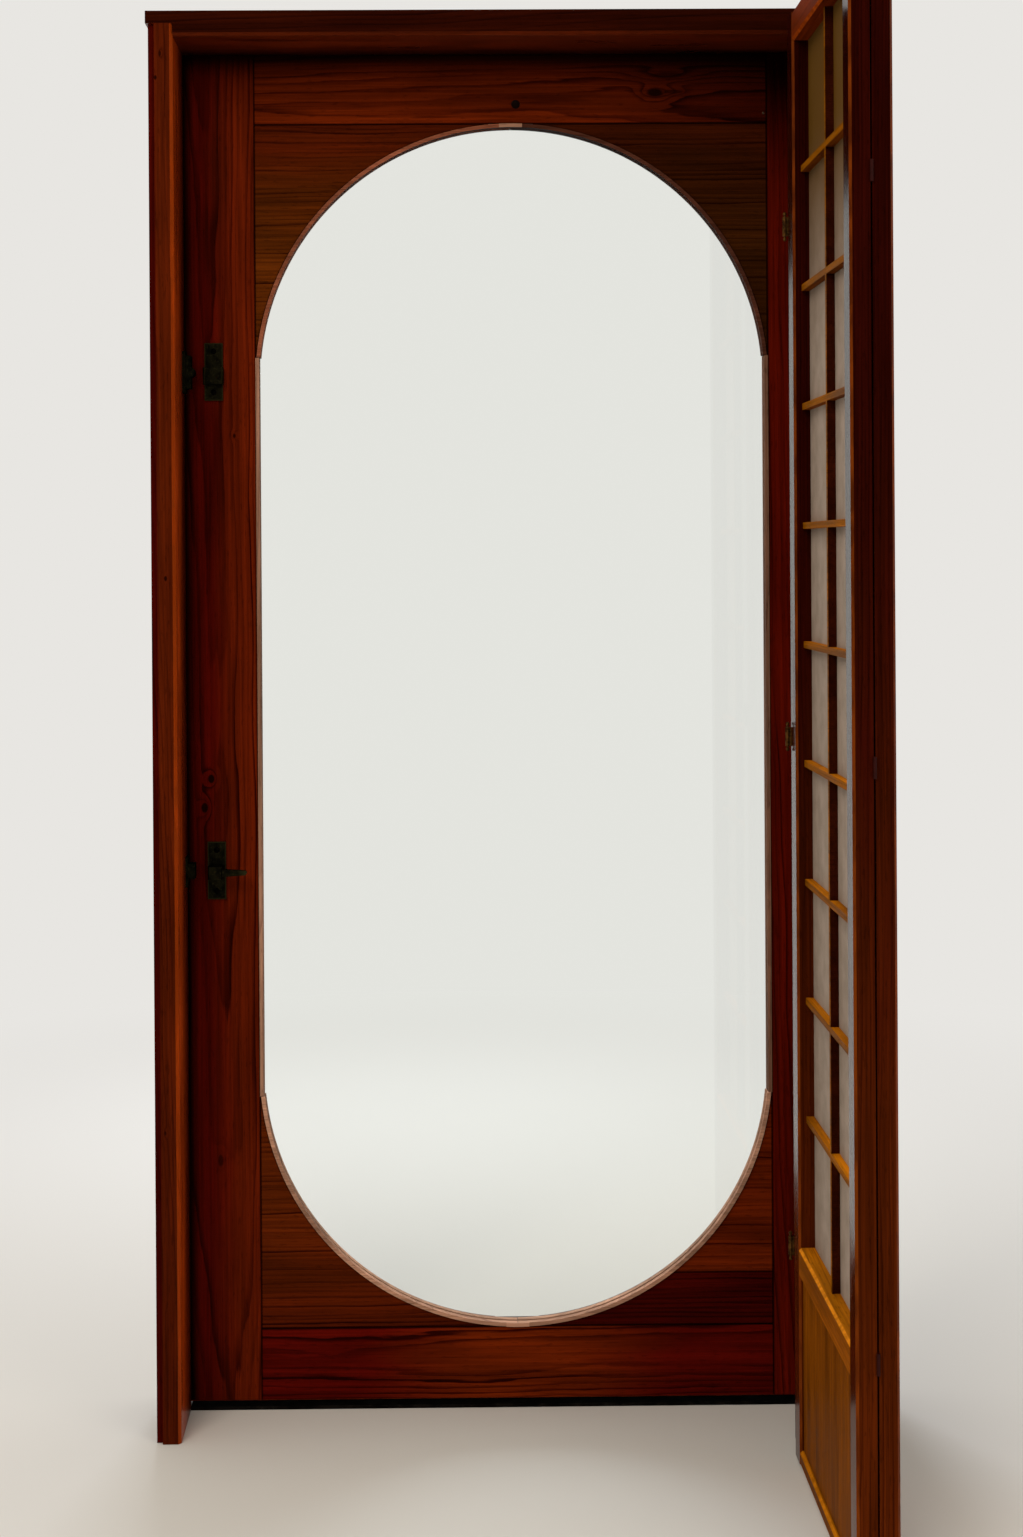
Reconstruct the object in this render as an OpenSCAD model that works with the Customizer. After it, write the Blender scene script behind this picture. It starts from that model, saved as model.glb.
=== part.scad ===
// Timber door set: a deep frame, a leaf with a round-ended pane, and a folding paper screen.
// X runs along the wall, Y from the room to the outside and Z up. The origin lies on the
// underside of the threshold, in the middle of the clear opening, below the room face of
// the leaf. Sizes are in millimetres.

/* [Opening] */
// Clear width between the jambs
clear_w = 880; // [760:10:1100]
// Clear height under the head
clear_h = 1818; // [1700:6:2200]
// Depth of the reveal between the frame's room face and the leaf
reveal_d = 120; // [80:5:200]

/* [Frame] */
// Thickness of the jambs and of the head
frame_t = 32; // [30:1:50]
// How far the frame reaches past the leaf's outer face
frame_over = 2; // [1:0.5:20]
// Depth of the rebate that the leaf closes into
rebate_d = 14; // [12:1:16]
// Space between the stop and the leaf's room face
stop_gap = 5; // [5:1:8]
// Width of the set-back strip along each jamb's outer edge
strip_w = 8; // [4:1:12]
// How far that strip is set back
strip_set = 6; // [2:1:10]
// Chamfer on the frame's inner arris
frame_arris = 4; // [1:1:6]
// Height by which the jambs are let into the head
housing_h = 16; // [6:1:20]
// How far the head's ends pass the jambs
horn = 3; // [0:1:10]
// Thickness of the threshold strip
sill_t = 4; // [3:1:12]
// Bevel along the threshold's long edges
sill_bevel = 2; // [0.5:0.5:2.5]
// How far the threshold reaches into the room from the leaf
sill_front = 8; // [0:1:40]

/* [Leaf] */
// Thickness of the leaf
leaf_t = 40; // [34:1:50]
// Gap between the leaf's edge and the rebate
leaf_gap = 7; // [6:0.5:9]
// Gap between the leaf and the threshold
leaf_lift = 5; // [5:1:10]
// Width of each stile seen from the room
stile_show = 95; // [70:1:130]
// Height of the top rail seen from the room
top_rail_show = 92; // [60:1:150]
// Height of the bottom rail
bottom_rail_h = 97; // [70:1:160]
// Thickness of the tenons that join the rails to the stiles
tenon_t = 12; // [8:1:16]
// Length of those tenons
tenon_l = 60; // [30:1:70]
// Distance from a rail's edges to its tenon
tenon_in = 18; // [8:1:30]
// Chamfer round the leaf's outer edges
leaf_arris = 1.5; // [0.5:0.5:4]
// How far the corner boards are set back from the stiles
corner_set = 1; // [0.5:0.5:4]
// Thickness of the bent rim
rim_t = 5; // [4:0.5:10]
// How far the rim stands proud of the leaf
rim_proud = 2; // [1:0.5:6]
// Depth of the rim
rim_d = 24; // [18:1:30]
// How far the straight rim beads run past the arches' springing
bead_over = 32; // [20:1:60]
// Width of the joint between rim pieces
rim_joint = 0.6; // [0.3:0.1:1]
// Length of the keys that cover the arches' middle joints
key_l = 31; // [20:1:50]
// Thickness of those keys
key_t = 1.2; // [0.8:0.1:2]
// Thickness of the glass
glass_t = 6; // [4:1:10]
// Depth of the rim's glazing groove
groove_d = 3; // [2:0.5:4]

/* [Locks] */
// Width of a lock plate
plate_w = 24.5; // [20:0.5:40]
// Height of a lock plate
plate_h = 77; // [60:1:120]
// Thickness of a lock plate
plate_t = 3; // [2:0.5:4]
// Height of the upper lock's middle
upper_lock_z = 1394; // [1200:1:1500]
// Height of the lower lock's middle
lower_lock_z = 724; // [600:1:1100]
// Distance from the clear opening's edge to the plates' middle
plate_in = 39; // [30:1:60]
// Width of the upper lock's case
case_w = 27; // [20:0.5:34]
// Height of that case
case_h = 23; // [18:1:40]
// Depth of that case
case_d = 14; // [8:1:20]
// Depth of the screws in from the plates' ends
screw_in = 11; // [6:1:14]
// Diameter of the screw holes
screw_d = 4; // [3:0.5:5]
// Length of the lever from its spindle
lever_len = 42; // [36:1:120]
// Distance from the leaf to the lever's middle
lever_out = 26; // [22:1:50]
// Width of the block at the lever's spindle
hub_w = 19; // [15:0.5:24]
// Height of that block
hub_h = 17; // [13:0.5:22]
// Height of the lever's grip at the hub
grip_h = 11; // [8:0.5:11]
// Thickness of the lever's grip
grip_t = 8; // [6:0.5:12]
// Height of the upper keeper
upper_keeper_h = 56; // [50:1:90]
// How far the upper keeper stands out of the jamb
upper_keeper_out = 16; // [8:1:18]
// Height of the lower keeper
lower_keeper_h = 40; // [24:1:60]
// How far the lower keeper stands out of the jamb
lower_keeper_out = 12; // [8:1:16]
// Depth of the keepers into the room
keeper_w = 24; // [16:1:30]

/* [Door hinges] */
// Height of a hinge plate
hinge_h = 100; // [80:1:140]
// Diameter of the hinge barrel
hinge_d = 12; // [10:0.5:14]
// Diameter of the hinge pin
hinge_pin_d = 6; // [5:0.5:7]
// Thickness of a hinge plate
hinge_t = 2.5; // [2:0.1:2.8]
// Distance from the leaf's ends to the outer hinges' middle
hinge_in = 230; // [150:5:350]

/* [Folding screen] */
// Width of one screen leaf
fold_w = 404; // [340:1:430]
// Thickness of one screen leaf
fold_t = 23; // [21:1:32]
// Gap between the folded screen leaves
fold_gap = 2; // [2:0.5:4]
// Distance from the clear opening's edge to the front screen leaf's face
fold_in = 96; // [90:1:110]
// Gap between the screen and the floor
fold_lift = 5; // [4:1:15]
// How far the screen reaches above the clear opening
fold_over = 4; // [0:1:12]
// Width of a screen stile
fold_stile_w = 36; // [24:1:45]
// Height of the screen's top rail
fold_top_h = 36; // [24:1:60]
// Height of the screen's middle rail
fold_middle_h = 36; // [24:1:60]
// Height of the screen's bottom rail
fold_bottom_h = 18; // [14:1:60]
// Height of the board at the screen's foot
board_h = 218; // [150:1:400]
// Thickness of that board
board_t = 6; // [4:1:9]
// How far the board is set back from the stiles
board_set = 5; // [2:1:8]
// Number of cross bars in the lattice
bars = 9; // [4:1:12]
// How much more than the others the lattice's end gaps measure
bar_ends = 12; // [0:1:30]
// Width of a lattice bar
bar_w = 8; // [6:0.5:12]
// Depth of a lattice bar
bar_d = 10; // [6:0.5:11]
// How far the bars are set back from the stiles
bar_set = 10.5; // [6:0.5:11]
// Thickness of the paper
paper_t = 0.6; // [0.4:0.1:1]
// Chamfer along the screen's arrises
fold_arris = 3; // [1:0.5:4]
// Thickness of the tenons that join the screen's rails to its stiles
fold_tenon_t = 8; // [5:0.5:9]
// Length of those tenons
fold_tenon_l = 22; // [14:1:22]
// Distance from a rail's edges to its tenon
fold_tenon_in = 5; // [3:0.5:8]
// Length of the tenons at the lattice bars' ends
bar_tenon = 6; // [3:0.5:8]
// Depth of the grooves that hold the board
board_groove = 6; // [3:0.5:8]
// Height of the screen's hinges
strap_h = 24; // [18:1:60]
// Distance from the screen's ends to its outer hinges' middle
strap_in = 263; // [150:1:400]
// Width of the post that carries the screen
post_w = 60; // [40:1:62]
// Depth of that post in front of the frame
post_d = 56; // [40:1:80]
// How far the post's face is set back from the screen's
post_set = 10; // [0:1:14]
// Thickness of the board that ties the post to the jamb
tie_t = 20; // [12:1:30]

/* [Hidden] */
$fn = 64;
eps = 0.01;
fit = 0.3;
snug = 0.2;
joint_gap = 0.5;

half_w = clear_w / 2;
jamb_out = half_w + frame_t;
rebate_x = half_w + rebate_d;
rebate_z = clear_h + rebate_d;
jamb_top = clear_h + housing_h;
head_top = clear_h + frame_t;
front_y = -reveal_d;
frame_back = leaf_t + frame_over;

leaf_half = rebate_x - leaf_gap;
leaf_low = sill_t + leaf_lift;
leaf_high = rebate_z - leaf_gap;
panel_half = half_w - stile_show;
panel_low = leaf_low + bottom_rail_h;
panel_high = clear_h - top_rail_show;
rim_r = panel_half;
pane_r = rim_r - rim_t;
arch_low = panel_low + rim_r;
arch_high = panel_high - rim_r;
bead_low = arch_low - bead_over;
bead_high = arch_high + bead_over;
tip_w = 30;
leaf_mid = leaf_t / 2;
glass_mid = rim_d / 2 - rim_proud;
top_rail_span = [panel_high, leaf_high];
bottom_rail_span = [leaf_low, panel_low];

plate_x = -half_w + plate_in;
spindle_hole_d = 16;
spindle_w = 8;
shank_d = 12;
plate_bore_d = shank_d + 2 * joint_gap;
keeper_back = -stop_gap - 2;
keeper_front = keeper_back - keeper_w;
keeper_step = 4;
keeper_shift = 2;
case_down = 6;
case_arris = 2;
button_d = 6;
button_in = 5;
button_out = 3;
hub_arris = 1.5;
key_d = 6;
key_slot_w = 3;
key_up = 4;
key_down = 8;
grip_tip = 3;

hinge_x = (leaf_half + rebate_x) / 2;
hinge_y = frame_back + hinge_d / 2 + 1;
hinge_zs = [leaf_low + hinge_in, (leaf_low + leaf_high) / 2, leaf_high - hinge_in];
hinge_deep = 30;
knuckle_gap = 1;
knuckle_h = (hinge_h - 2 * knuckle_gap) / 3;
pin_clear = 0.06;

fold_x = half_w - fold_in;
fold_back = fold_x + fold_t;
fold_mid = fold_back + fold_gap / 2;
fold_low = fold_lift;
fold_high = clear_h + fold_over;
board_low = fold_low + fold_bottom_h;
middle_low = board_low + board_h;
lattice_low = middle_low + fold_middle_h;
lattice_high = fold_high - fold_top_h;
bar_pitch = (lattice_high - lattice_low - 2 * bar_ends) / (bars + 1);
bar_zs = [for (k = [1 : bars]) lattice_low + bar_ends + k * bar_pitch];
bar_shoulder = 1.5;
bar_x = fold_x + bar_set;
paper_x = bar_x + bar_d;
board_x = fold_x + board_set;
tenon_x = fold_x + (fold_t - fold_tenon_t) / 2;
post_arris = 3;
post_x = fold_x + post_set;
post_front = front_y - post_d;
strap_t = 2;
strap_gap = 0.5;
strap_r = 3;
strap_out = 4;
finial_d = 5;
finial_neck = 1.5;
finial_up = 4;
fold_far = post_front - 2 * strap_t - strap_gap;
fold_near = fold_far - fold_w;
inner_near = fold_near + fold_stile_w;
inner_far = fold_far - fold_stile_w;
inner_mid = (inner_near + inner_far) / 2;
rail_spans = [[fold_low, board_low], [middle_low, lattice_low], [lattice_high, fold_high]];
strap_x = fold_x - strap_out;
strap_zs = [fold_low + strap_in, (fold_low + fold_high) / 2, fold_high - strap_in];
butt_in = 26;
butt_out = 2;
butt_r = 2;

// An outline drawn in X and Z, as a slab from y0 to y1
module slab(y0, y1) {
    translate([0, y1, 0]) rotate([90, 0, 0]) linear_extrude(y1 - y0) children();
}

// An outline drawn in X and Y, as an upright from z0 to z1
module upright(z0, z1) {
    translate([0, 0, z0]) linear_extrude(z1 - z0) children();
}

// A rod along Y
module rod_y(x, z, y0, y1, d) {
    translate([x, y1, z]) rotate([90, 0, 0]) cylinder(d = d, h = y1 - y0);
}

// A box between two corners
module block(low, high) {
    translate(low) cube(high - low);
}

module right_side() {
    mirror([1, 0, 0]) children();
}

// Section of the left jamb, with its strip, arris, stop and rebate
module jamb_section() {
    polygon([
        [-jamb_out, front_y + strip_set], [-jamb_out + strip_w, front_y + strip_set],
        [-jamb_out + strip_w, front_y], [-half_w - frame_arris, front_y],
        [-half_w, front_y + frame_arris], [-half_w, -stop_gap],
        [-rebate_x, -stop_gap], [-rebate_x, frame_back], [-jamb_out, frame_back]
    ]);
}

module jamb() {
    upright(0, jamb_top) jamb_section();
}

module head() color("#5a1c0c") {
    far = jamb_out + horn;
    difference() {
        translate([-far, 0, 0]) rotate([90, 0, 90]) linear_extrude(2 * far) polygon([
            [front_y, head_top], [front_y, clear_h + frame_arris],
            [front_y + frame_arris, clear_h], [-stop_gap, clear_h], [-stop_gap, rebate_z],
            [frame_back, rebate_z], [frame_back, head_top]
        ]);
        for (side = [-1, 1]) {
            x = side * (half_w + far) / 2;
            translate([x, 0, clear_h]) cube([far - half_w, 2 * head_top, 2 * housing_h], center = true);
        }
    }
}

module left_jamb() color("#6a220e") jamb();

module right_jamb() color("#6a220e") right_side() jamb();

module threshold() color("#2b2622") {
    translate([-half_w, 0, 0]) rotate([90, 0, 90]) linear_extrude(clear_w) polygon([
        [-sill_front, 0], [frame_back, 0], [frame_back, sill_t - sill_bevel],
        [frame_back - sill_bevel, sill_t], [-sill_front + sill_bevel, sill_t],
        [-sill_front, sill_t - sill_bevel]
    ]);
}

// The post in front of the right jamb that the screen hangs from
module screen_post() color("#5a1c0c") {
    upright(0, fold_high) polygon([
        [post_x, front_y], [post_x, post_front + post_arris], [post_x + post_arris, post_front],
        [post_x + post_w - post_arris, post_front],
        [post_x + post_w, post_front + post_arris], [post_x + post_w, front_y]
    ]);
}

module post_tie() color("#5a1c0c") {
    block([post_x + post_w, front_y - tie_t, 0], [jamb_out - strip_w, front_y, fold_high]);
}

module upper_keeper() color("#3a3420") {
    z = upper_lock_z - keeper_shift;
    low = z - upper_keeper_h / 2;
    high = z + upper_keeper_h / 2;
    lip = upper_keeper_out - keeper_step - 1;
    roller_r = 7;
    block([-half_w, keeper_front, low], [-half_w + keeper_step, keeper_back, high]);
    block([-half_w, keeper_front + keeper_step, low + 1.5 * keeper_step],
          [-half_w + lip, keeper_back, high - 1.5 * keeper_step]);
    rod_y(-half_w + upper_keeper_out - roller_r, z, keeper_front + keeper_step, keeper_back,
          2 * roller_r);
}

module lower_keeper() color("#3a3420") {
    z = lower_lock_z + keeper_shift;
    block([-half_w, keeper_front, z - lower_keeper_h / 2],
          [-half_w + keeper_step - 1, keeper_back, z + lower_keeper_h / 2]);
    block([-half_w, keeper_front + keeper_step, z - lower_keeper_h / 4],
          [-half_w + lower_keeper_out, keeper_back, z + lower_keeper_h / 4]);
}

// One leaf of a door hinge; the fixed one carries the pin and the outer knuckles
module door_hinge(z, fixed) {
    low = z - hinge_h / 2;
    x0 = fixed ? rebate_x - hinge_t : leaf_half;
    y0 = leaf_t - hinge_deep;
    rise = knuckle_h + knuckle_gap;
    difference() {
        block([x0, y0, low], [x0 + hinge_t, hinge_y, low + hinge_h]);
        if (fixed) {
            translate([hinge_x, hinge_y, low + knuckle_h])
                cylinder(d = hinge_d + 1, h = knuckle_h + 2 * knuckle_gap);
        } else {
            translate([hinge_x, hinge_y, low - 1]) cylinder(d = hinge_d + 1, h = rise + 1);
            translate([hinge_x, hinge_y, low + 2 * rise - knuckle_gap])
                cylinder(d = hinge_d + 1, h = rise + 1);
            translate([hinge_x, hinge_y, low])
                cylinder(d = hinge_pin_d + 2 * pin_clear, h = hinge_h);
        }
    }
    translate([hinge_x, hinge_y, 0]) {
        if (fixed) {
            for (k = [0, 2]) translate([0, 0, low + k * rise]) cylinder(d = hinge_d, h = knuckle_h);
            translate([0, 0, low]) cylinder(d = hinge_pin_d, h = hinge_h);
            for (end = [low, low + hinge_h]) translate([0, 0, end]) sphere(d = hinge_d - 2);
        } else {
            translate([0, 0, low + rise]) difference() {
                cylinder(d = hinge_d, h = knuckle_h);
                translate([0, 0, -1]) cylinder(d = hinge_pin_d + 2 * pin_clear, h = knuckle_h + 2);
            }
        }
    }
}

module hinge_jamb_plates() color("#3a3420") for (z = hinge_zs) door_hinge(z, true);

module hinge_door_plates() color("#3a3420") for (z = hinge_zs) door_hinge(z, false);

// The whole leaf before it is divided, with its outer edges chamfered
module leaf_blank() {
    a = leaf_arris;
    intersection() {
        upright(leaf_low, leaf_high) polygon([
            [-leaf_half, a], [-leaf_half + a, 0], [leaf_half - a, 0], [leaf_half, a],
            [leaf_half, leaf_t - a], [leaf_half - a, leaf_t], [-leaf_half + a, leaf_t],
            [-leaf_half, leaf_t - a]
        ]);
        translate([-leaf_half, 0, 0]) rotate([90, 0, 90]) linear_extrude(2 * leaf_half) polygon([
            [a, leaf_low], [leaf_t - a, leaf_low], [leaf_t, leaf_low + a],
            [leaf_t, leaf_high - a], [leaf_t - a, leaf_high], [a, leaf_high],
            [0, leaf_high - a], [0, leaf_low + a]
        ]);
    }
}

// Both tenons of a rail, or with a clearance the mortises for them
module tenons(span, clear) {
    reach = panel_half + tenon_l + (clear > 0 ? 1 : 0);
    block([-reach, leaf_mid - tenon_t / 2 - clear, span[0] + tenon_in - clear],
          [reach, leaf_mid + tenon_t / 2 + clear, span[1] - tenon_in + clear]);
}

module stile() {
    difference() {
        intersection() {
            leaf_blank();
            block([-leaf_half, 0, leaf_low], [-panel_half, leaf_t, leaf_high]);
        }
        tenons(top_rail_span, snug);
        tenons(bottom_rail_span, snug);
    }
}

module rail(span) {
    intersection() {
        leaf_blank();
        block([-panel_half, 0, span[0]], [panel_half, leaf_t, span[1]]);
    }
    tenons(span, 0);
}

module lock_stile() color("#5e1c0c") difference() {
    stile();
    rod_y(plate_x, lower_lock_z, -1, leaf_t + 1, spindle_hole_d);
}

module hinge_stile() color("#5e1c0c") right_side() stile();

module top_rail() color("#64200e") rail(top_rail_span);

module bottom_rail() color("#64200e") rail(bottom_rail_span);

// Outline of the upper left corner board, round the arch
module corner_outline() {
    difference() {
        translate([-panel_half, bead_high]) square([panel_half - tip_w, panel_high - bead_high]);
        translate([0, arch_high]) circle(r = rim_r + fit, $fn = 180);
    }
}

module corner_board() {
    slab(corner_set, leaf_t - corner_set) corner_outline();
}

// Places a child made for the upper half in the lower half
module lower_half() {
    translate([0, 0, arch_low + arch_high]) mirror([0, 0, 1]) children();
}

module corner_upper_left() color("#541a0a") corner_board();

module corner_upper_right() color("#541a0a") right_side() corner_board();

module corner_lower_left() color("#541a0a") lower_half() corner_board();

module corner_lower_right() color("#541a0a") lower_half() right_side() corner_board();

// Quarter of the bent rim, upper left, with its glazing groove
module rim_arch() {
    difference() {
        slab(-rim_proud, rim_d - rim_proud) intersection() {
            translate([0, arch_high]) difference() {
                circle(r = rim_r, $fn = 180);
                circle(r = pane_r, $fn = 180);
            }
            translate([-rim_r - 1, bead_high + rim_joint / 2])
                square([rim_r + 1 - rim_joint / 2, rim_r]);
        }
        slab(glass_mid - glass_t / 2 - fit, glass_mid + glass_t / 2 + fit)
            translate([0, arch_high]) circle(r = pane_r + groove_d, $fn = 180);
    }
}

module rim_side() {
    difference() {
        block([-rim_r, -rim_proud, bead_low + rim_joint / 2],
              [-pane_r, rim_d - rim_proud, bead_high - rim_joint / 2]);
        block([-pane_r - groove_d, glass_mid - glass_t / 2 - fit, bead_low - 1],
              [-pane_r + 1, glass_mid + glass_t / 2 + fit, bead_high + 1]);
    }
}

module rim_arch_upper_left() color("#a06a50") rim_arch();

module rim_arch_upper_right() color("#a06a50") right_side() rim_arch();

module rim_side_left() color("#a06a50") rim_side();

module rim_side_right() color("#a06a50") right_side() rim_side();

module rim_arch_lower_left() color("#a06a50") lower_half() rim_arch();

module rim_arch_lower_right() color("#a06a50") lower_half() right_side() rim_arch();

// Thin key on the rim's room face, over the joint between the two upper arches
module rim_key() {
    slab(-rim_proud - key_t, -rim_proud) intersection() {
        translate([0, arch_high]) difference() {
            circle(r = rim_r, $fn = 180);
            circle(r = pane_r, $fn = 180);
        }
        translate([-key_l / 2, arch_high]) square([key_l, rim_r + 1]);
    }
}

module rim_keys() color("#b07c58") {
    rim_key();
    lower_half() rim_key();
}

module glass() color([0.8, 0.9, 0.95, 0.35]) {
    r = pane_r + groove_d - fit;
    slab(glass_mid - glass_t / 2, glass_mid + glass_t / 2) {
        for (z = [arch_low, arch_high]) translate([0, z]) circle(r = r, $fn = 180);
        translate([-r, arch_low]) square([2 * r, arch_high - arch_low]);
    }
}

// A thin plate on a face of the leaf, with a screw hole near each end
module face_plate(z, y0, bore) {
    difference() {
        block([plate_x - plate_w / 2, y0, z - plate_h / 2],
              [plate_x + plate_w / 2, y0 + plate_t, z + plate_h / 2]);
        for (side = [-1, 1])
            rod_y(plate_x, z + side * (plate_h / 2 - screw_in), y0 - 1, y0 + plate_t + 1, screw_d);
        if (bore > 0) rod_y(plate_x, lower_lock_z, y0 - 1, y0 + plate_t + 1, bore);
    }
}

module upper_lock() color("#3a3420") {
    z = upper_lock_z - case_down;
    half = case_w / 2;
    face_plate(upper_lock_z, -plate_t, 0);
    upright(z - case_h / 2, z + case_h / 2) translate([plate_x, 0]) polygon([
        [-half, 0], [-half, -case_d + case_arris], [-half + case_arris, -case_d],
        [half - case_arris, -case_d], [half, -case_d + case_arris], [half, 0]
    ]);
    rod_y(plate_x + half - button_in, z, -case_d - button_out, -case_d, button_d);
}

module lever_plate() color("#3a3420") face_plate(lower_lock_z, -plate_t, plate_bore_d);

module outer_lever_plate() color("#3a3420") face_plate(lower_lock_z, leaf_t, plate_bore_d);

module key_plate() color("#3a3420") difference() {
    face_plate(upper_lock_z, leaf_t, 0);
    rod_y(plate_x, upper_lock_z + key_up, leaf_t - 1, leaf_t + plate_t + 1, key_d);
    block([plate_x - key_slot_w / 2, leaf_t - 1, upper_lock_z - key_down],
          [plate_x + key_slot_w / 2, leaf_t + plate_t + 1, upper_lock_z + key_up]);
}

// The lever's grip about its middle at y, tapering to a round tip
module grip(y) {
    tip_x = plate_x + lever_len - grip_tip;
    slab(y - grip_t / 2, y + grip_t / 2) translate([0, lower_lock_z]) union() {
        polygon([
            [plate_x, -grip_h / 2], [tip_x, -grip_tip], [tip_x, grip_tip], [plate_x, grip_h / 2]
        ]);
        translate([tip_x, 0]) circle(r = grip_tip);
    }
}

// The lever's hub: a round shank through the plate, and a chamfered block in front of it
module hub(face, side) {
    near = face + side * (plate_t + joint_gap);
    far = face + side * (lever_out + grip_t / 2 + hub_arris);
    half = hub_w / 2;
    rod_y(plate_x, lower_lock_z, min(face, near), max(face, near), shank_d);
    upright(lower_lock_z - hub_h / 2, lower_lock_z + hub_h / 2) translate([plate_x, 0]) polygon([
        [-half, near], [-half, far - side * hub_arris], [-half + hub_arris, far],
        [half - hub_arris, far], [half, far - side * hub_arris], [half, near]
    ]);
}

module room_lever() color("#3a3420") {
    hub(-eps, -1);
    grip(-lever_out);
}

module outer_lever() color("#3a3420") {
    hub(leaf_t + eps, 1);
    grip(leaf_t + lever_out);
    block([plate_x - spindle_w / 2, 0, lower_lock_z - spindle_w / 2],
          [plate_x + spindle_w / 2, leaf_t + 1, lower_lock_z + spindle_w / 2]);
}

// Section of a screen stile or rail, u across its face and v into its thickness
module fold_section(w) {
    polygon([
        [0, fold_arris], [fold_arris, 0], [w - fold_arris, 0], [w, fold_arris],
        [w, fold_t], [0, fold_t]
    ]);
}

// Places a child made for the front screen leaf, mirrored where it is for the back one
module on_leaf(back) {
    if (back) translate([2 * fold_mid, 0, 0]) mirror([1, 0, 0]) children();
    else children();
}

// The tenons of the front leaf's rails, or with a clearance the mortises for them
module fold_tenons(span, clear) {
    reach = fold_tenon_l + (clear > 0 ? 1 : 0);
    block([tenon_x - clear, inner_near - reach, span[0] + fold_tenon_in - clear],
          [tenon_x + fold_tenon_t + clear, inner_far + reach, span[1] - fold_tenon_in + clear]);
}

// One cross bar with its end tenons, or with a clearance the mortises for them
module cross_bar(z, clear) {
    reach = bar_tenon + (clear > 0 ? 0.5 : 0);
    block([bar_x, inner_near, z - bar_w / 2], [bar_x + bar_d, inner_far, z + bar_w / 2]);
    block([bar_x + bar_shoulder - clear, inner_near - reach, z - bar_w / 2 + bar_shoulder - clear],
          [bar_x + bar_d - bar_shoulder + clear, inner_far + reach,
           z + bar_w / 2 - bar_shoulder + clear]);
}

// The upright in the middle of the lattice, in the same way
module middle_bar(clear) {
    reach = bar_tenon + (clear > 0 ? 0.5 : 0);
    block([bar_x, inner_mid - bar_w / 2, lattice_low],
          [bar_x + bar_d, inner_mid + bar_w / 2, lattice_high]);
    block([bar_x + bar_shoulder - clear, inner_mid - bar_w / 2 + bar_shoulder - clear,
           lattice_low - reach],
          [bar_x + bar_d - bar_shoulder + clear, inner_mid + bar_w / 2 - bar_shoulder + clear,
           lattice_high + reach]);
}

// The board at the foot, or with a clearance the grooves that hold it
module foot_board(clear) {
    reach = board_groove - (clear > 0 ? 0 : 1);
    block([board_x - clear, inner_near - reach, board_low - reach],
          [board_x + board_t + clear, inner_far + reach, middle_low + reach]);
}

module fold_stile(back, near) {
    y = near ? inner_near : fold_far;
    on_leaf(back) difference() {
        upright(fold_low, fold_high)
            translate([fold_x, y]) rotate([0, 0, -90]) fold_section(fold_stile_w);
        for (span = rail_spans) fold_tenons(span, snug);
        for (z = bar_zs) cross_bar(z, snug);
        foot_board(snug);
    }
}

module fold_rail(back, k) {
    span = rail_spans[k];
    on_leaf(back) {
        difference() {
            translate([fold_x, inner_near, span[0]]) rotate([-90, -90, 0])
                linear_extrude(inner_far - inner_near) fold_section(span[1] - span[0]);
            middle_bar(snug);
            foot_board(snug);
        }
        difference() {
            fold_tenons(span, 0);
            block([tenon_x - 1, inner_near, span[0]], [tenon_x + fold_tenon_t + 1, inner_far, span[1]]);
            foot_board(snug);
        }
    }
}

module fold_lattice(back) {
    on_leaf(back) union() {
        middle_bar(0);
        for (z = bar_zs) cross_bar(z, 0);
    }
}

module fold_paper(back) {
    on_leaf(back)
        block([paper_x, inner_near, lattice_low], [paper_x + paper_t, inner_far, lattice_high]);
}

module fold_board(back) {
    on_leaf(back) foot_board(0);
}

module wood(back) color(back ? "#6e3512" : "#8a4a1c") children();

module front_far_stile() wood(false) fold_stile(false, false);

module front_near_stile() wood(false) fold_stile(false, true);

module front_top_rail() wood(false) fold_rail(false, 2);

module front_middle_rail() wood(false) fold_rail(false, 1);

module front_bottom_rail() wood(false) fold_rail(false, 0);

module front_lattice() wood(false) fold_lattice(false);

module front_paper() color("#d8ccb4") fold_paper(false);

module front_board() color("#a06420") fold_board(false);

module back_far_stile() wood(true) fold_stile(true, false);

module back_near_stile() wood(true) fold_stile(true, true);

module back_top_rail() wood(true) fold_rail(true, 2);

module back_middle_rail() wood(true) fold_rail(true, 1);

module back_bottom_rail() wood(true) fold_rail(true, 0);

module back_lattice() wood(true) fold_lattice(true);

module back_paper() color("#d8ccb4") fold_paper(true);

module back_board() color("#a06420") fold_board(true);

// Hinge between the post and the front screen leaf, with ball finials
module screen_hinge(z) {
    y = post_front - strap_t - strap_gap / 2;
    low = z - strap_h / 2;
    block([strap_x, post_front - strap_t, low], [fold_back, post_front, low + strap_h]);
    block([strap_x, fold_far, low], [fold_back, fold_far + strap_t, low + strap_h]);
    translate([strap_x, y, low]) cylinder(r = strap_r, h = strap_h);
    for (side = [-1, 1]) translate([strap_x, y, z + side * strap_h / 2]) {
        translate([0, 0, side * finial_neck])
            cylinder(r = strap_r / 2, h = 2 * finial_neck, center = true);
        translate([0, 0, side * finial_up]) sphere(d = finial_d);
    }
}

module screen_hinges() color("#b08a4a") for (z = strap_zs) screen_hinge(z);

// Hinge between the two screen leaves, let into the joint at their near edges
module fold_hinge(z) {
    low = z - strap_h / 2;
    block([fold_back, fold_near - butt_out, low],
          [fold_back + fold_gap, fold_near + butt_in, low + strap_h]);
    translate([fold_mid, fold_near - butt_out, low]) cylinder(r = butt_r, h = strap_h);
}

module fold_hinges() color("#b08a4a") for (z = strap_zs) fold_hinge(z);

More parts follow.
